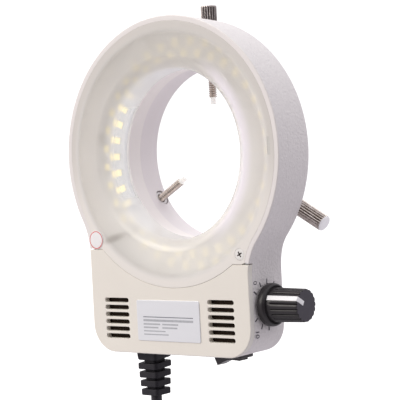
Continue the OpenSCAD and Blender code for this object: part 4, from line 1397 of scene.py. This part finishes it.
def make_light():
    world = bpy.data.worlds.new("studio")
    scene.world = world
    world.use_nodes = True
    nt = world.node_tree
    nt.nodes.clear()
    out = nt.nodes.new("ShaderNodeOutputWorld")
    seen = nt.nodes.new("ShaderNodeBackground")
    seen.inputs["Color"].default_value = (1, 1, 1, 1)
    seen.inputs["Strength"].default_value = 1.15
    # a room: bright above, dim along the walls, dark behind the camera's place
    lit = nt.nodes.new("ShaderNodeBackground")
    coord = nt.nodes.new("ShaderNodeTexCoord")
    split = nt.nodes.new("ShaderNodeSeparateXYZ")
    nt.links.new(coord.outputs["Generated"], split.inputs["Vector"])
    height = nt.nodes.new("ShaderNodeMapRange")
    height.inputs["From Min"].default_value = -1
    height.inputs["From Max"].default_value = 1
    nt.links.new(split.outputs["Z"], height.inputs["Value"])
    sky = nt.nodes.new("ShaderNodeValToRGB")
    ramp = sky.color_ramp
    ramp.elements[0].position, ramp.elements[0].color = 0.0, (0.80, 0.765, 0.81, 1)
    ramp.elements[1].position, ramp.elements[1].color = 1.0, (1.0, 1.0, 1.0, 1)
    for pos, col in ((0.45, (0.55, 0.523, 0.565, 1)), (0.56, (0.55, 0.525, 0.57, 1)), (0.76, (0.98, 0.96, 0.99, 1))):
        e = ramp.elements.new(pos)
        e.color = col
    nt.links.new(height.outputs["Result"], sky.inputs["Fac"])
    toward = nt.nodes.new("ShaderNodeVectorMath")
    toward.operation = "DOT_PRODUCT"
    toward.inputs[1].default_value = (0.62, -0.78, -0.05)
    nt.links.new(coord.outputs["Generated"], toward.inputs[0])
    dark = nt.nodes.new("ShaderNodeMapRange")
    dark.interpolation_type = "SMOOTHSTEP"
    dark.inputs["From Min"].default_value = 0.70
    dark.inputs["From Max"].default_value = 0.96
    dark.inputs["To Min"].default_value = 1.0
    dark.inputs["To Max"].default_value = 0.14
    nt.links.new(toward.outputs["Value"], dark.inputs["Value"])
    nt.links.new(sky.outputs["Color"], lit.inputs["Color"])
    nt.links.new(dark.outputs["Result"], lit.inputs["Strength"])
    path = nt.nodes.new("ShaderNodeLightPath")
    mix = nt.nodes.new("ShaderNodeMixShader")
    nt.links.new(path.outputs["Is Camera Ray"], mix.inputs["Fac"])
    nt.links.new(lit.outputs["Background"], mix.inputs[1])
    nt.links.new(seen.outputs["Background"], mix.inputs[2])
    nt.links.new(mix.outputs["Shader"], out.inputs["Surface"])

    def area(name, place, target, size, power, color):
        data = bpy.data.lights.new(name, "AREA")
        data.shape = "RECTANGLE"
        data.size, data.size_y = size
        data.energy = power
        data.color = color
        ob = bpy.data.objects.new(name, data)
        scene.collection.objects.link(ob)
        d = Vector(target) - Vector(place)
        ob.location = place
        ob.rotation_euler = d.to_track_quat("-Z", "Y").to_euler()

    area("key", (-0.75, -1.15, 0.75), (0, 0, -0.02), (0.9, 0.9), 12.6, (1.0, 0.945, 0.855))
    area("fill", (-1.1, -0.3, 0.12), (0, 0, 0), (0.9, 0.9), 2.6, (1.0, 0.95, 0.965))
    area("top", (0.12, 0.12, 0.55), (0.02, 0, -0.02), (0.5, 0.5), 0.9, (1.0, 0.98, 0.98))


make_light()

# flat faces stay flat beside their rounded edges
cad = set(frame["nodes"].values())
for ob in scene.collection.all_objects:
    if ob.type == "MESH" and ob not in cad and ob.name != "floor":
        m = ob.modifiers.new("normals", "WEIGHTED_NORMAL")
        m.keep_sharp = True
        m.weight = 80
